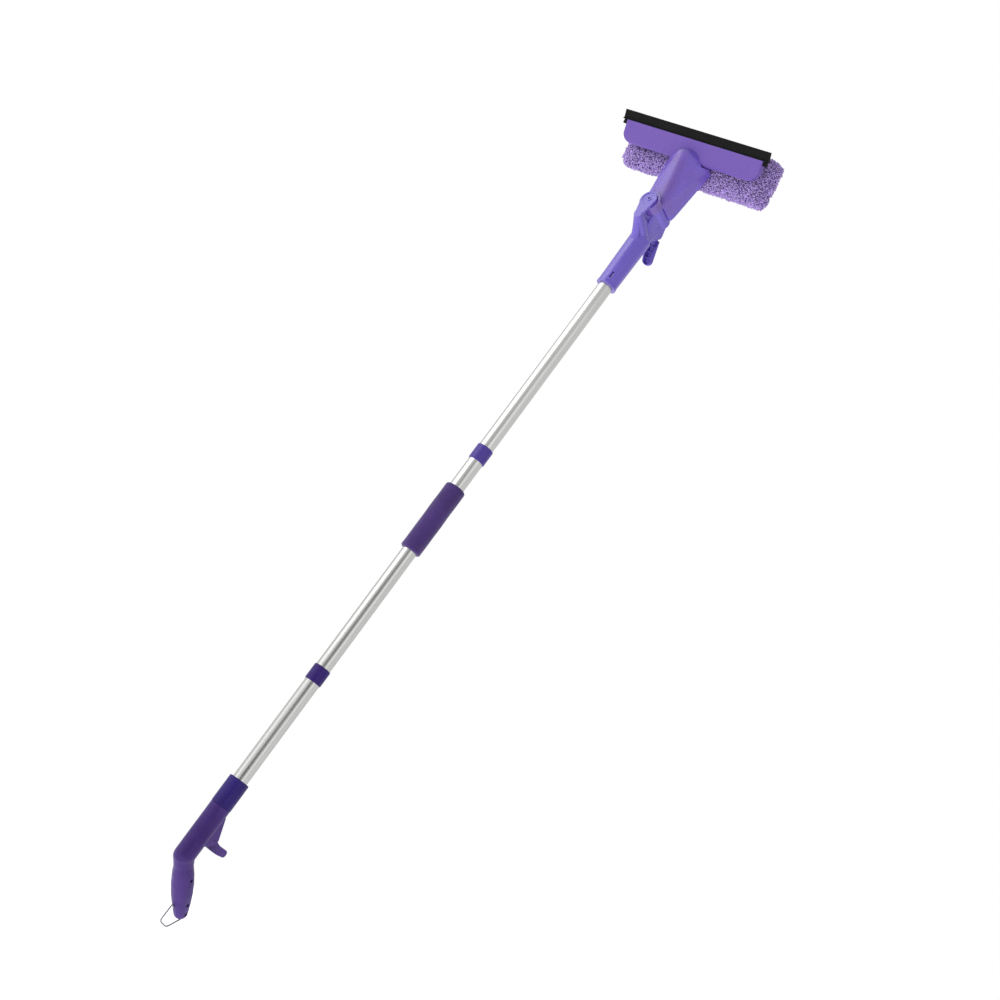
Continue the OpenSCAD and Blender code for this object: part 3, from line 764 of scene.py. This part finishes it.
def slab(half: Sequence[float], power: Sequence[float],
         count: tuple[int, int]) -> tuple[np.ndarray, np.ndarray]:
    """Closed pillow-edged slab around the origin.

    With angles a around the outline and b from front to back, a point is
    x = hx C(a, p) C(b, q), z = hz S(a, p) C(b, q), y = hy S(b, q), where C and S are the cosine
    and sine raised to 2/p with their sign kept, so a larger power is a squarer form.

    Args:
        half: half sizes along x, y and z.
        power: squareness of the outline p and of the edge q.
        count: points around the outline and from front to back.

    Returns:
        Points and their four-cornered faces; all points of the first row meet in one pole, and
        those of the last row in the other.
    """
    a = np.linspace(0, 2 * math.pi, count[0], endpoint=False)
    b = np.linspace(-math.pi / 2, math.pi / 2, count[1])
    aa, bb = np.meshgrid(a, b)
    p, q = power
    x = half[0] * raised(np.cos(aa), p) * raised(np.cos(bb), q)
    z = half[2] * raised(np.sin(aa), p) * raised(np.cos(bb), q)
    y = half[1] * raised(np.sin(bb), q)
    return np.stack([x, y, z], axis=-1).reshape(-1, 3), grid_faces(count[1], count[0])


# ---------------------------------------------------------------- sub-assemblies


@dataclass
class Assembly:
    """A sub-assembly of the part, made and dressed as one.

    Attributes:
        finishes: the shared finishes.
    """

    finishes: Finishes

    def build(self) -> None:
        """Makes or dresses every part of the sub-assembly."""
        raise NotImplementedError


@dataclass
class Handle(Assembly):
    """Pistol grip with its nut, trigger, screws and hanging loop."""

    def build(self) -> None:
        """Dresses every part of the handle."""
        f = self.finishes
        for node in ("handle_shell_left", "handle_shell_right"):
            dress_node(node, f.handle)
        dress_node("handle_collar", f.ring)
        dress_node("trigger", f.trigger)
        dress_node("handle_screws", f.screw)
        dress_node("trigger_pin", f.pin)
        dress_node("trigger_spring", f.spring)
        dress_node("hanging_loop", f.wire)


@dataclass(frozen=True)
class Wave:
    """A shallow wave on the sleeve: strength sin(k a + p) sin(m z + q), a round it and z along it.

    Attributes:
        strength: height of the wave next to the others.
        k: lumps around the sleeve.
        p: turn of the lumps in radians.
        m: radians for each metre along the sleeve.
        q: shift along the sleeve in radians.
    """

    strength: float
    k: int
    p: float
    m: float
    q: float

    def height(self, a: np.ndarray, z: np.ndarray) -> np.ndarray:
        """Height of the wave at angles a and heights z."""
        return self.strength * np.sin(self.k * a + self.p) * np.sin(self.m * z + self.q)


@dataclass
class Sleeve(Assembly):
    """Foam sleeve on the middle tube, closed all round, with soft shoulders and faint finger dents.

    Attributes:
        around: points around the sleeve.
        along: points along its outside.
        turned: points on the quarter round of a shoulder.
        bore: radius of the inner wall, just outside the tube.
        shoulder: radius of the quarter round at both ends.
        dent: the most that the shallow waves may reach.
        wave_share: height of a wave of strength 1, as a share of the dent.
        waved: how far under the full radius the waves stop.
        waves: the shallow waves.
    """

    around: int = 72
    along: int = 90
    turned: int = 9
    bore: float = 11.1 * MM
    shoulder: float = 3.4 * MM
    dent: float = 0.35 * MM
    wave_share: float = 0.5
    waved: float = 0.5 * MM
    waves: tuple[Wave, Wave] = (Wave(1.0, 3, 0.7, 92.0, 0.0), Wave(0.6, 5, -1.1, 171.0, 2.0))

    def build(self) -> None:
        """Makes the sleeve from the CAD solid's box and lets it stand for that solid."""
        points, faces = self.surface(*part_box("foam_grip"))
        sleeve = new_mesh("foam_sleeve", points, faces)
        dress(sleeve, self.finishes.sleeve)
        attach(sleeve, "pole")
        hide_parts("foam_grip")
        LOG.info("foam sleeve: %d faces", len(sleeve.data.polygons))

    def surface(self, low: Vector, high: Vector) -> tuple[np.ndarray, np.ndarray]:
        """Closed surface of the sleeve.

        The outside is r(a, z) = R, less a quarter-round shoulder at both ends, plus the waves.  The
        ends turn in to the tube and the inner wall closes the ring, so the last row of points is
        the first one again.

        Args:
            low: lowest corner of the sleeve's box.
            high: highest corner of the sleeve's box.

        Returns:
            Points and their four-cornered faces.
        """
        outer = (high.x - low.x) / 2 - self.dent
        turn = np.linspace(0.0, math.pi / 2, self.turned)
        middle = np.linspace(low.z + self.shoulder, high.z - self.shoulder, self.along)
        rise = self.shoulder * (1 - np.cos(turn))
        inset = outer - self.shoulder * (1 - np.sin(turn))
        z = np.concatenate([low.z + rise, middle[1:-1], (high.z - rise)[::-1]])
        r = np.concatenate([inset, np.full(self.along - 2, outer), inset[::-1]])
        angle = np.linspace(0.0, 2 * math.pi, self.around, endpoint=False)
        a, zz = np.meshgrid(angle, z)
        rr = np.repeat(r[:, None], self.around, axis=1)
        wave = sum(w.height(a, zz) for w in self.waves)
        rr = rr + self.dent * self.wave_share * wave * (rr > outer - self.waved)
        ring = np.stack([self.bore * np.cos(angle), self.bore * np.sin(angle)], axis=-1)
        foot = np.column_stack([ring, np.full(self.around, z[0])])
        top = np.column_stack([ring, np.full(self.around, z[-1])])
        skin = np.stack([rr * np.cos(a), rr * np.sin(a), zz], axis=-1).reshape(-1, 3)
        points = np.concatenate([foot, skin, top])
        return points, grid_faces(len(z) + 3, self.around) % len(points)


@dataclass
class Pole(Assembly):
    """Three tubes, their couplings and the push rods inside them."""

    def build(self) -> None:
        """Dresses the tubes, couplings and rods."""
        f = self.finishes
        for part in ("lower", "middle", "upper"):
            dress_node(f"{part}_tube", f.tube)
            dress_node(f"{part}_push_rod", f.rod)
        dress_node("lower_coupling", f.lower_coupling)
        dress_node("upper_coupling", f.upper_coupling)


@dataclass
class SwivelLock(Assembly):
    """Connector on the pole with the lock lever, its pins and the brake."""

    def build(self) -> None:
        """Dresses the connector and everything of the lock."""
        f = self.finishes
        dress_node("connector_body", f.connector)
        dress_node("lock_lever", f.lever)
        dress_node("lever_spring", f.spring)
        dress_node("brake_tip", f.brake)
        for node in ("lever_pin", "brake_plunger", "swivel_pin"):
            dress_node(node, f.pin)


@dataclass
class Neck(Assembly):
    """Hollow neck in two halves."""

    def build(self) -> None:
        """Dresses the neck and its screws."""
        dress_node("neck_front", self.finishes.neck)
        dress_node("neck_rear", self.finishes.neck)
        dress_node("neck_screws", self.finishes.screw)


@dataclass
class Blade(Assembly):
    """Holder plate with the rubber blade along its top."""

    def build(self) -> None:
        """Dresses the holder, its screws and the rubber."""
        dress_node("blade_holder", self.finishes.head)
        dress_node("holder_screws", self.finishes.screw)
        dress_node("rubber_blade", self.finishes.blade)


@dataclass(frozen=True)
class YarnLoop:
    """Sizes of the pile's yarn loops; a pair is the lowest and the highest, in millimetres.

    Attributes:
        width_mm: distance between a loop's two feet.
        height_mm: how far a loop stands up.
        radius_mm: radius of the yarn.
        sway_mm: how far a loop leans to one side.
        droop_mm: how far every loop hangs down.
        rooted_mm: how deep a loop's feet sit in the cover.
        stations: rings along a loop.
        foot_share: radius of the first and the last ring, as a share of the yarn's.
        shade: how much paler or darker a whole loop may be.
        root_shade_share: painted shade at the feet.
    """

    SIDES = 4  # four, so that the cap on a ring is one more four-cornered face

    width_mm: tuple[float, float] = (2.2, 4.2)
    height_mm: tuple[float, float] = (2.4, 5.2)
    radius_mm: tuple[float, float] = (0.55, 0.85)
    sway_mm: tuple[float, float] = (-1.6, 1.6)
    droop_mm: float = 0.7
    rooted_mm: float = 0.5
    stations: int = 7
    foot_share: float = 0.6
    shade: tuple[float, float] = (-0.15, 0.25)
    root_shade_share: float = 0.9


@dataclass
class Pad(Assembly):
    """Microfibre cover with its pile, over a foam core on a stiff carrier.

    The cover is worked out in the pad's own frame: x along the pad, y towards its working face,
    z up the pad, with the origin at its middle.

    Attributes:
        middle: origin of the pad's frame in the part's frame.
        lean: forward lean of the pad in radians.
        half: half length, half thickness and half height of the cover.
        skin: how far the cover's body lies inside the CAD solid, the pile stands on it.
        core_power: squareness of the core's outline and of its edge.
        core_count: points around the core and from front to back.
        cover_power: squareness of the cover's outline and of its edge.
        cover_count: points around the cover and from front to back.
        voxel: size of the remesh before the cover is blown up.
        pressure: force that blows the cover up.
        quality: steps of the cloth for each frame.
        frames: frames that the cloth runs for.
        cap: the most that any point may move as the cover swells.
        wrinkle_pitch: length over which the wrinkles' phase grows by about one radian.
        wrinkle_height: height of each of the three waves of wrinkles.
        cover_shade: painted shade on the cover between the loops.
        yarn: sizes of the pile loops.
        loops: number of pile loops on each of the two halves of the cover.
        seed: start of the random numbers for the loops.
    """

    middle: tuple[float, float, float] = (0.0, 0.0094, 1.113)
    lean: float = math.radians(16)
    half: tuple[float, float, float] = (0.1325, 0.015, 0.038)
    skin: float = 2.2 * MM
    core_power: tuple[float, float] = (10.0, 7.0)
    core_count: tuple[int, int] = (96, 40)
    cover_power: tuple[float, float] = (11.0, 6.0)
    cover_count: tuple[int, int] = (160, 56)
    voxel: float = 5.0 * MM
    pressure: float = 4.0
    quality: int = 5
    frames: int = 20
    cap: float = 2.5 * MM
    wrinkle_pitch: float = 11 * MM
    wrinkle_height: float = 0.27 * MM
    cover_shade: float = 0.25
    yarn: YarnLoop = YarnLoop()
    loops: int = 5200
    seed: int = 7

    def frame(self) -> Matrix:
        """Matrix from the pad's frame to the part's frame."""
        return Matrix.Translation(self.middle) @ Matrix.Rotation(self.lean, 4, "X")

    def to_part(self, points: np.ndarray) -> np.ndarray:
        """Points of the pad's frame, moved into the part's frame."""
        return moved(self.frame(), points)

    def to_pad(self, points: np.ndarray) -> np.ndarray:
        """Points of the part's frame, moved into the pad's frame."""
        return moved(self.frame().inverted(), points)

    def build(self) -> None:
        """Dresses the carrier and makes the core, the cover and its pile."""
        dress_node("pad_carrier", self.finishes.carrier)
        dress_node("carrier_screws", self.finishes.screw)
        self.make_core()
        cover = self.make_cover()
        self.make_pile(cover)

    def make_core(self) -> None:
        """Foam core between the carrier and the working face of the cover, with soft edges."""
        solid = self.to_pad(mesh_points(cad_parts["pad_foam"].data))
        low, high = solid.min(0), solid.max(0)
        points, faces = slab((high - low) / 2, self.core_power, self.core_count)
        core = new_mesh("foam_core", self.to_part(points + (low + high) / 2), faces)
        close_poles(core)
        dress(core, self.finishes.core)
        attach(core, "head")
        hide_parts("pad_foam")
        LOG.info("foam core: %d faces", len(core.data.polygons))

    def make_cover(self) -> bpy.types.Object:
        """Makes the cover's body: a slab that is remeshed, blown up as cloth, and wrinkled.

        Returns:
            The finished cover, which the pile stands on.
        """
        points, faces = slab(np.array(self.half) - self.skin, self.cover_power, self.cover_count)
        cover = new_mesh("microfibre_cover", self.to_part(points), faces)
        close_poles(cover)
        remesh = cover.modifiers.new("even", "REMESH")
        remesh.mode, remesh.voxel_size, remesh.use_smooth_shade = "VOXEL", self.voxel, True
        apply_modifiers(cover)
        self.swell(cover)
        smooth = cover.modifiers.new("finer", "SUBSURF")
        smooth.levels = smooth.render_levels = 1
        apply_modifiers(cover)
        self.wrinkle(cover)
        dress(cover, self.finishes.backing)
        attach(cover, "head")
        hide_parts("microfibre_pad")
        LOG.info("cover: %d faces", len(cover.data.polygons))
        return cover

    def swell(self, cover: bpy.types.Object) -> None:
        """Blows the cover up as cloth under slight pressure, and caps how far each point moves.

        Args:
            cover: the remeshed cover, whose mesh is replaced.
        """
        scene = bpy.context.scene
        rest = mesh_points(cover.data)
        cloth = cover.modifiers.new("swell", "CLOTH")
        cloth.settings.use_pressure = True
        cloth.settings.uniform_pressure_force = self.pressure
        cloth.settings.effector_weights.gravity = 0.0
        cloth.settings.quality = self.quality
        cloth.point_cache.frame_start, cloth.point_cache.frame_end = 1, self.frames
        for step in range(1, self.frames + 1):
            scene.frame_set(step)
        apply_modifiers(cover)
        scene.frame_set(1)
        move = mesh_points(cover.data) - rest
        length = np.linalg.norm(move, axis=1, keepdims=True)
        move *= np.minimum(1.0, self.cap / np.maximum(length, TINY))
        move_points(cover.data, rest + move)

    def wrinkle(self, cover: bpy.types.Object) -> None:
        """Lumps the cover along its normals by a sum of three sine waves at odd angles.

        Args:
            cover: the swollen cover, whose points move and get their 'depth', an even painted shade between
                the loops.
        """
        points = mesh_points(cover.data)
        normals = np.empty(len(points) * 3, np.float32)
        cover.data.vertices.foreach_get("normal", normals)
        x, y, z = (points / self.wrinkle_pitch).T
        lump = (np.sin(1.3 * x + 2.1 * z) + np.sin(2.3 * x - 1.7 * z + 1.9 * y)
                + np.sin(0.7 * x + 3.1 * z + 1.0))
        move_points(cover.data, points + normals.reshape(-1, 3) * (self.wrinkle_height * lump)[:, None])
        # even painted shade on the cover between the loops
        store(cover.data, "depth", np.full(len(points), self.cover_shade))

    def make_pile(self, cover: bpy.types.Object) -> None:
        """Covers the pad with small yarn loops, in a front half and a working half.

        A foot lies at a random place of a triangle that is drawn by its area: with two random
        shares u and v, folded back where u + v > 1, it is p0 + u (p1 - p0) + v (p2 - p0).

        Args:
            cover: the finished cover that the loops stand on.
        """
        rng = np.random.default_rng(self.seed)
        mesh = cover.data
        mesh.calc_loop_triangles()
        corners = np.empty(len(mesh.loop_triangles) * 3, np.int32)
        mesh.loop_triangles.foreach_get("vertices", corners)
        tri = mesh_points(mesh)[corners.reshape(-1, 3)]
        across = np.cross(tri[:, 1] - tri[:, 0], tri[:, 2] - tri[:, 0])
        area = np.linalg.norm(across, axis=1)
        normal = across / area[:, None]
        side = self.to_pad(tri.mean(1))[:, 1]
        for name, mask in (("pile_front", side <= 0), ("pile_working", side > 0)):
            chosen = rng.choice(np.flatnonzero(mask), self.loops, p=area[mask] / area[mask].sum())
            share = rng.random((self.loops, 2))
            folded = share.sum(1) > 1
            share[folded] = 1 - share[folded]
            t = tri[chosen]
            base = t[:, 0] + share[:, :1] * (t[:, 1] - t[:, 0]) + share[:, 1:] * (t[:, 2] - t[:, 0])
            self.add_loops(name, base, normal[chosen], rng)

    def add_loops(self, name: str, base: np.ndarray, normal: np.ndarray, rng: np.random.Generator) -> None:
        """Makes one piece of many yarn loops.

        With s from 0 to 1 along a loop, its middle line is base - t w/2 cos(pi s) + n h sin(pi s)
        + lean sin(pi s)^2, where t is a random direction in the surface and n its normal.  A ring of
        radius r is carried along it, thinner at both ends, which are closed and sit in the cover.

        Args:
            name: name of the piece.
            base: foot of each loop.
            normal: direction in which each loop stands.
            rng: the seeded source of random numbers.
        """
        yarn, sides, count = self.yarn, self.yarn.SIDES, len(base)
        spin = rng.normal(size=(count, 3))
        t = spin - (spin * normal).sum(1, keepdims=True) * normal
        t /= np.linalg.norm(t, axis=1, keepdims=True)
        b = np.cross(normal, t)
        width = rng.uniform(*yarn.width_mm, count) * MM
        height = rng.uniform(*yarn.height_mm, count) * MM
        radius = rng.uniform(*yarn.radius_mm, count) * MM
        lean = b * rng.uniform(*yarn.sway_mm, (count, 1)) * MM + np.array([0, 0, -yarn.droop_mm * MM])
        s = np.linspace(0, 1, yarn.stations)
        arc = math.pi * s
        thin = np.where((s == 0) | (s == 1), yarn.foot_share, 1.0)
        along = -0.5 * width[:, None] * np.cos(arc)
        up = height[:, None] * np.sin(arc) - yarn.rooted_mm * MM
        line = (base[:, None] + t[:, None] * along[..., None] + normal[:, None] * up[..., None]
                + lean[:, None] * (np.sin(arc) ** 2)[None, :, None])
        run = 0.5 * width[:, None] * np.sin(arc)
        rise = height[:, None] * np.cos(arc)
        size = np.hypot(run, rise)
        out = t[:, None] * (rise / size)[..., None] - normal[:, None] * (run / size)[..., None]
        phi = np.linspace(0, 2 * math.pi, sides, endpoint=False) + math.pi / sides
        r = radius[:, None] * thin[None]
        ring = line[:, :, None] + r[..., None, None] * (
            np.cos(phi)[None, None, :, None] * b[:, None, None]
            + np.sin(phi)[None, None, :, None] * out[:, :, None])
        per = len(s) * sides
        caps = np.array([np.arange(sides)[::-1], np.arange(per - sides, per)])
        one = np.concatenate([grid_faces(len(s), sides), caps])
        whole = (one[None] + (np.arange(count) * per)[:, None, None]).reshape(-1, sides)
        pile = new_mesh(name, ring.reshape(-1, 3), whole)
        # painted shade on each loop, darkest at its feet in the cover, plus a random tone for each loop
        depth = np.repeat((1 - np.sin(arc))[None], count, axis=0) + rng.uniform(*yarn.shade, (count, 1))
        depth = np.clip(depth * yarn.root_shade_share, 0, 1)
        store(pile.data, "depth", np.repeat(depth, sides, axis=1).ravel())
        dress(pile, self.finishes.pile)
        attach(pile, "head")
        LOG.info("%s: %d loops", name, count)


# ---------------------------------------------------------------- studio


@dataclass(frozen=True)
class SoftBox:
    """A square area light.

    Attributes:
        name: name of the light.
        place: where it stands.
        target: the point it is aimed at.
        size: length of its side.
        power: power in watts.
    """

    name: str
    place: tuple[float, float, float]
    target: tuple[float, float, float]
    size: float
    power: float


@dataclass(frozen=True)
class Patch:
    """A soft patch of the surround, whose strength goes with the cosine to its middle.

    Attributes:
        toward: direction of its middle.
        start: cosine at which the strength starts to change.
        full: cosine at which it has changed fully.
        outside: strength below the start.
        inside: strength above the full cosine.
    """

    toward: tuple[float, float, float]
    start: float
    full: float
    outside: float
    inside: float


@dataclass
class Studio:
    """Camera, lights, pale floor and white surround.

    Attributes:
        eye: place of the camera.
        right: direction that lies to the right in the camera's view.
        up: direction that lies upwards in the camera's view.
        lens: focal length in millimetres.
        sensor: width of the sensor in millimetres.
        clip: nearest and farthest distance that the camera shows.
        boxes: the soft boxes.
        floor_z: height of the floor.
        floor_radius: radius of the floor.
        floor_start: share of the way out at which the floor's first ring lies.
        floor_rings: rings of points on the floor.
        floor_spokes: points on each ring.
        floor_glow: strength of the floor's own light.
        card: dark card in front of the part, for shiny surfaces.
        card_top: how the card ends as one looks up.
        lamp: soft lamp on the left, for shiny surfaces.
        wall: the white tent with its soft grey behind the part, for shiny surfaces.
        dim: surround that lights the matt surfaces.
    """

    FLOOR_TONE = Spots(300.0, 3.0, 0.5, 0.3, 0.7)
    FLOOR_GAIN = 0.97

    eye: tuple[float, float, float] = (1.5425, -1.97248, -0.09628)
    right: tuple[float, float, float] = (0.731288, 0.368818, 0.573752)
    up: tuple[float, float, float] = (-0.358807, -0.507373, 0.783473)
    lens: float = 66.58
    sensor: float = 36.0
    clip: tuple[float, float] = (0.05, 60.0)
    boxes: tuple[SoftBox, ...] = (
        SoftBox("key", (-1.5, -2.6, 1.5), (0, 0, 0.8), 1.6, 20.0),
        SoftBox("fill", (2.6, -1.4, 0.9), (0, 0, 0.6), 1.8, 5.0),
        SoftBox("crown", (0.2, 0.9, 3.2), (0, 0, 1.0), 1.4, 11.0),
        SoftBox("low", (-1.4, -1.9, -0.2), (0, 0, -0.1), 1.0, 2.0),
    )
    floor_z: float = -0.62
    floor_radius: float = 24.0
    floor_start: float = 0.02
    floor_rings: int = 12
    floor_spokes: int = 64
    floor_glow: float = 0.95
    card: Patch = Patch((0.6, -0.8, 0.0), 0.84, 0.96, 0.0, 0.92)
    card_top: Patch = Patch((0.0, 0.0, 1.0), 0.10, 0.34, 1.0, 0.0)
    lamp: Patch = Patch((-0.72, -0.52, 0.48), 0.90, 0.99, 0.0, 2.2)
    wall: Patch = Patch((0.6, -0.8, 0.0), -0.98, -0.70, 0.35, 0.95)
    dim: Patch = Patch((-0.45, -0.62, 0.64), -0.9, 0.9, 0.10, 0.44)

    def build(self) -> None:
        """Makes the camera, lights, floor and surround."""
        self.make_camera()
        self.make_lights()
        self.make_floor()
        self.make_world()
        bpy.context.scene.view_settings.view_transform = "Standard"

    def make_camera(self) -> None:
        """Makes the camera from its place and the two directions of its view."""
        data = bpy.data.cameras.new("camera")
        data.lens, data.sensor_width = self.lens, self.sensor
        data.clip_start, data.clip_end = self.clip
        camera = bpy.data.objects.new("camera", data)
        right, up = Vector(self.right).normalized(), Vector(self.up).normalized()
        back = right.cross(up)
        turn = Matrix((right, up, back)).transposed().to_4x4()
        camera.matrix_world = Matrix.Translation(self.eye) @ turn
        bpy.context.scene.collection.objects.link(camera)
        bpy.context.scene.camera = camera

    def make_lights(self) -> None:
        """Makes the soft boxes, each aimed at a point on the part."""
        for box in self.boxes:
            data = bpy.data.lights.new(box.name, "AREA")
            data.shape, data.size, data.energy = "SQUARE", box.size, box.power
            light = bpy.data.objects.new(box.name, data)
            aim = (Vector(box.target) - Vector(box.place)).to_track_quat("-Z", "Y")
            light.matrix_world = Matrix.Translation(box.place) @ aim.to_matrix().to_4x4()
            bpy.context.scene.collection.objects.link(light)

    def make_floor(self) -> None:
        """Makes the round pale floor well below the part: rings of radius R t^2 for t up to 1."""
        t = np.linspace(self.floor_start, 1, self.floor_rings)
        a = np.linspace(0, 2 * math.pi, self.floor_spokes, endpoint=False)
        radius = self.floor_radius * t ** 2
        points = np.stack([np.outer(radius, np.cos(a)), np.outer(radius, np.sin(a)),
                           np.full((len(t), len(a)), self.floor_z)], axis=-1).reshape(-1, 3)
        faces = grid_faces(len(t), len(a))[:, ::-1]
        floor = new_mesh("floor", points, faces)
        g = Graph("floor_paper")
        colour = g.blend(g.spots(self.FLOOR_TONE), Tint.FLOOR.linear(self.FLOOR_GAIN), Tint.FLOOR.linear())
        dress(floor, g.done(Base_Color=colour, Roughness=0.9, Emission_Color=WHITE,
                            Emission_Strength=self.floor_glow))

    def make_world(self) -> None:
        """White surround to the eye, dim for matt surfaces, and a light tent for shiny ones.

        The tent is white all round but for a dark card low in front of the part and a soft grey
        behind it, which give the tubes their dark middle stripe and their thin grey rims, and for a
        soft lamp on the left, which shines on the neck.
        """
        world = bpy.data.worlds.new("surround")
        world.use_nodes = True
        g = NodeTree(world.node_tree)
        where = g.add("ShaderNodeTexCoord").outputs["Generated"]

        def strength(patch: Patch) -> Socket:
            """Strength of a patch in the direction that is looked at."""
            cosine = g.add("ShaderNodeVectorMath", {0: where, 1: Vector(patch.toward).normalized()},
                           operation="DOT_PRODUCT").outputs["Value"]
            return g.level(cosine, patch.start, patch.full, patch.outside, patch.inside)

        def choose(share: Socket, a: Socket, b: Socket | float) -> Socket:
            """Goes from strength a to strength b as the share goes from 0 to 1."""
            return g.add("ShaderNodeMix", {0: share, 2: a, 3: b}).outputs[0]

        card = g.combine(strength(self.card), strength(self.card_top), "MULTIPLY")
        tent = g.combine(strength(self.lamp), g.combine(strength(self.wall), card, "SUBTRACT"))
        path = g.add("ShaderNodeLightPath").outputs
        lit = choose(path["Is Glossy Ray"], strength(self.dim), tent)
        seen = choose(path["Is Camera Ray"], lit, 1.0)
        g.feed(g.nodes["Background"], {"Color": WHITE, "Strength": seen})
        bpy.context.scene.world = world


def main() -> None:
    """Builds the studio and each sub-assembly in order."""
    logging.basicConfig(level=logging.INFO, format="%(name)s: %(message)s")
    Studio().build()
    finishes = Finishes()
    for assembly in (Handle, Pole, Sleeve, SwivelLock, Neck, Blade, Pad):
        assembly(finishes).build()
        LOG.info("%s is finished", assembly.__name__)


if __name__ == "__main__":
    main()
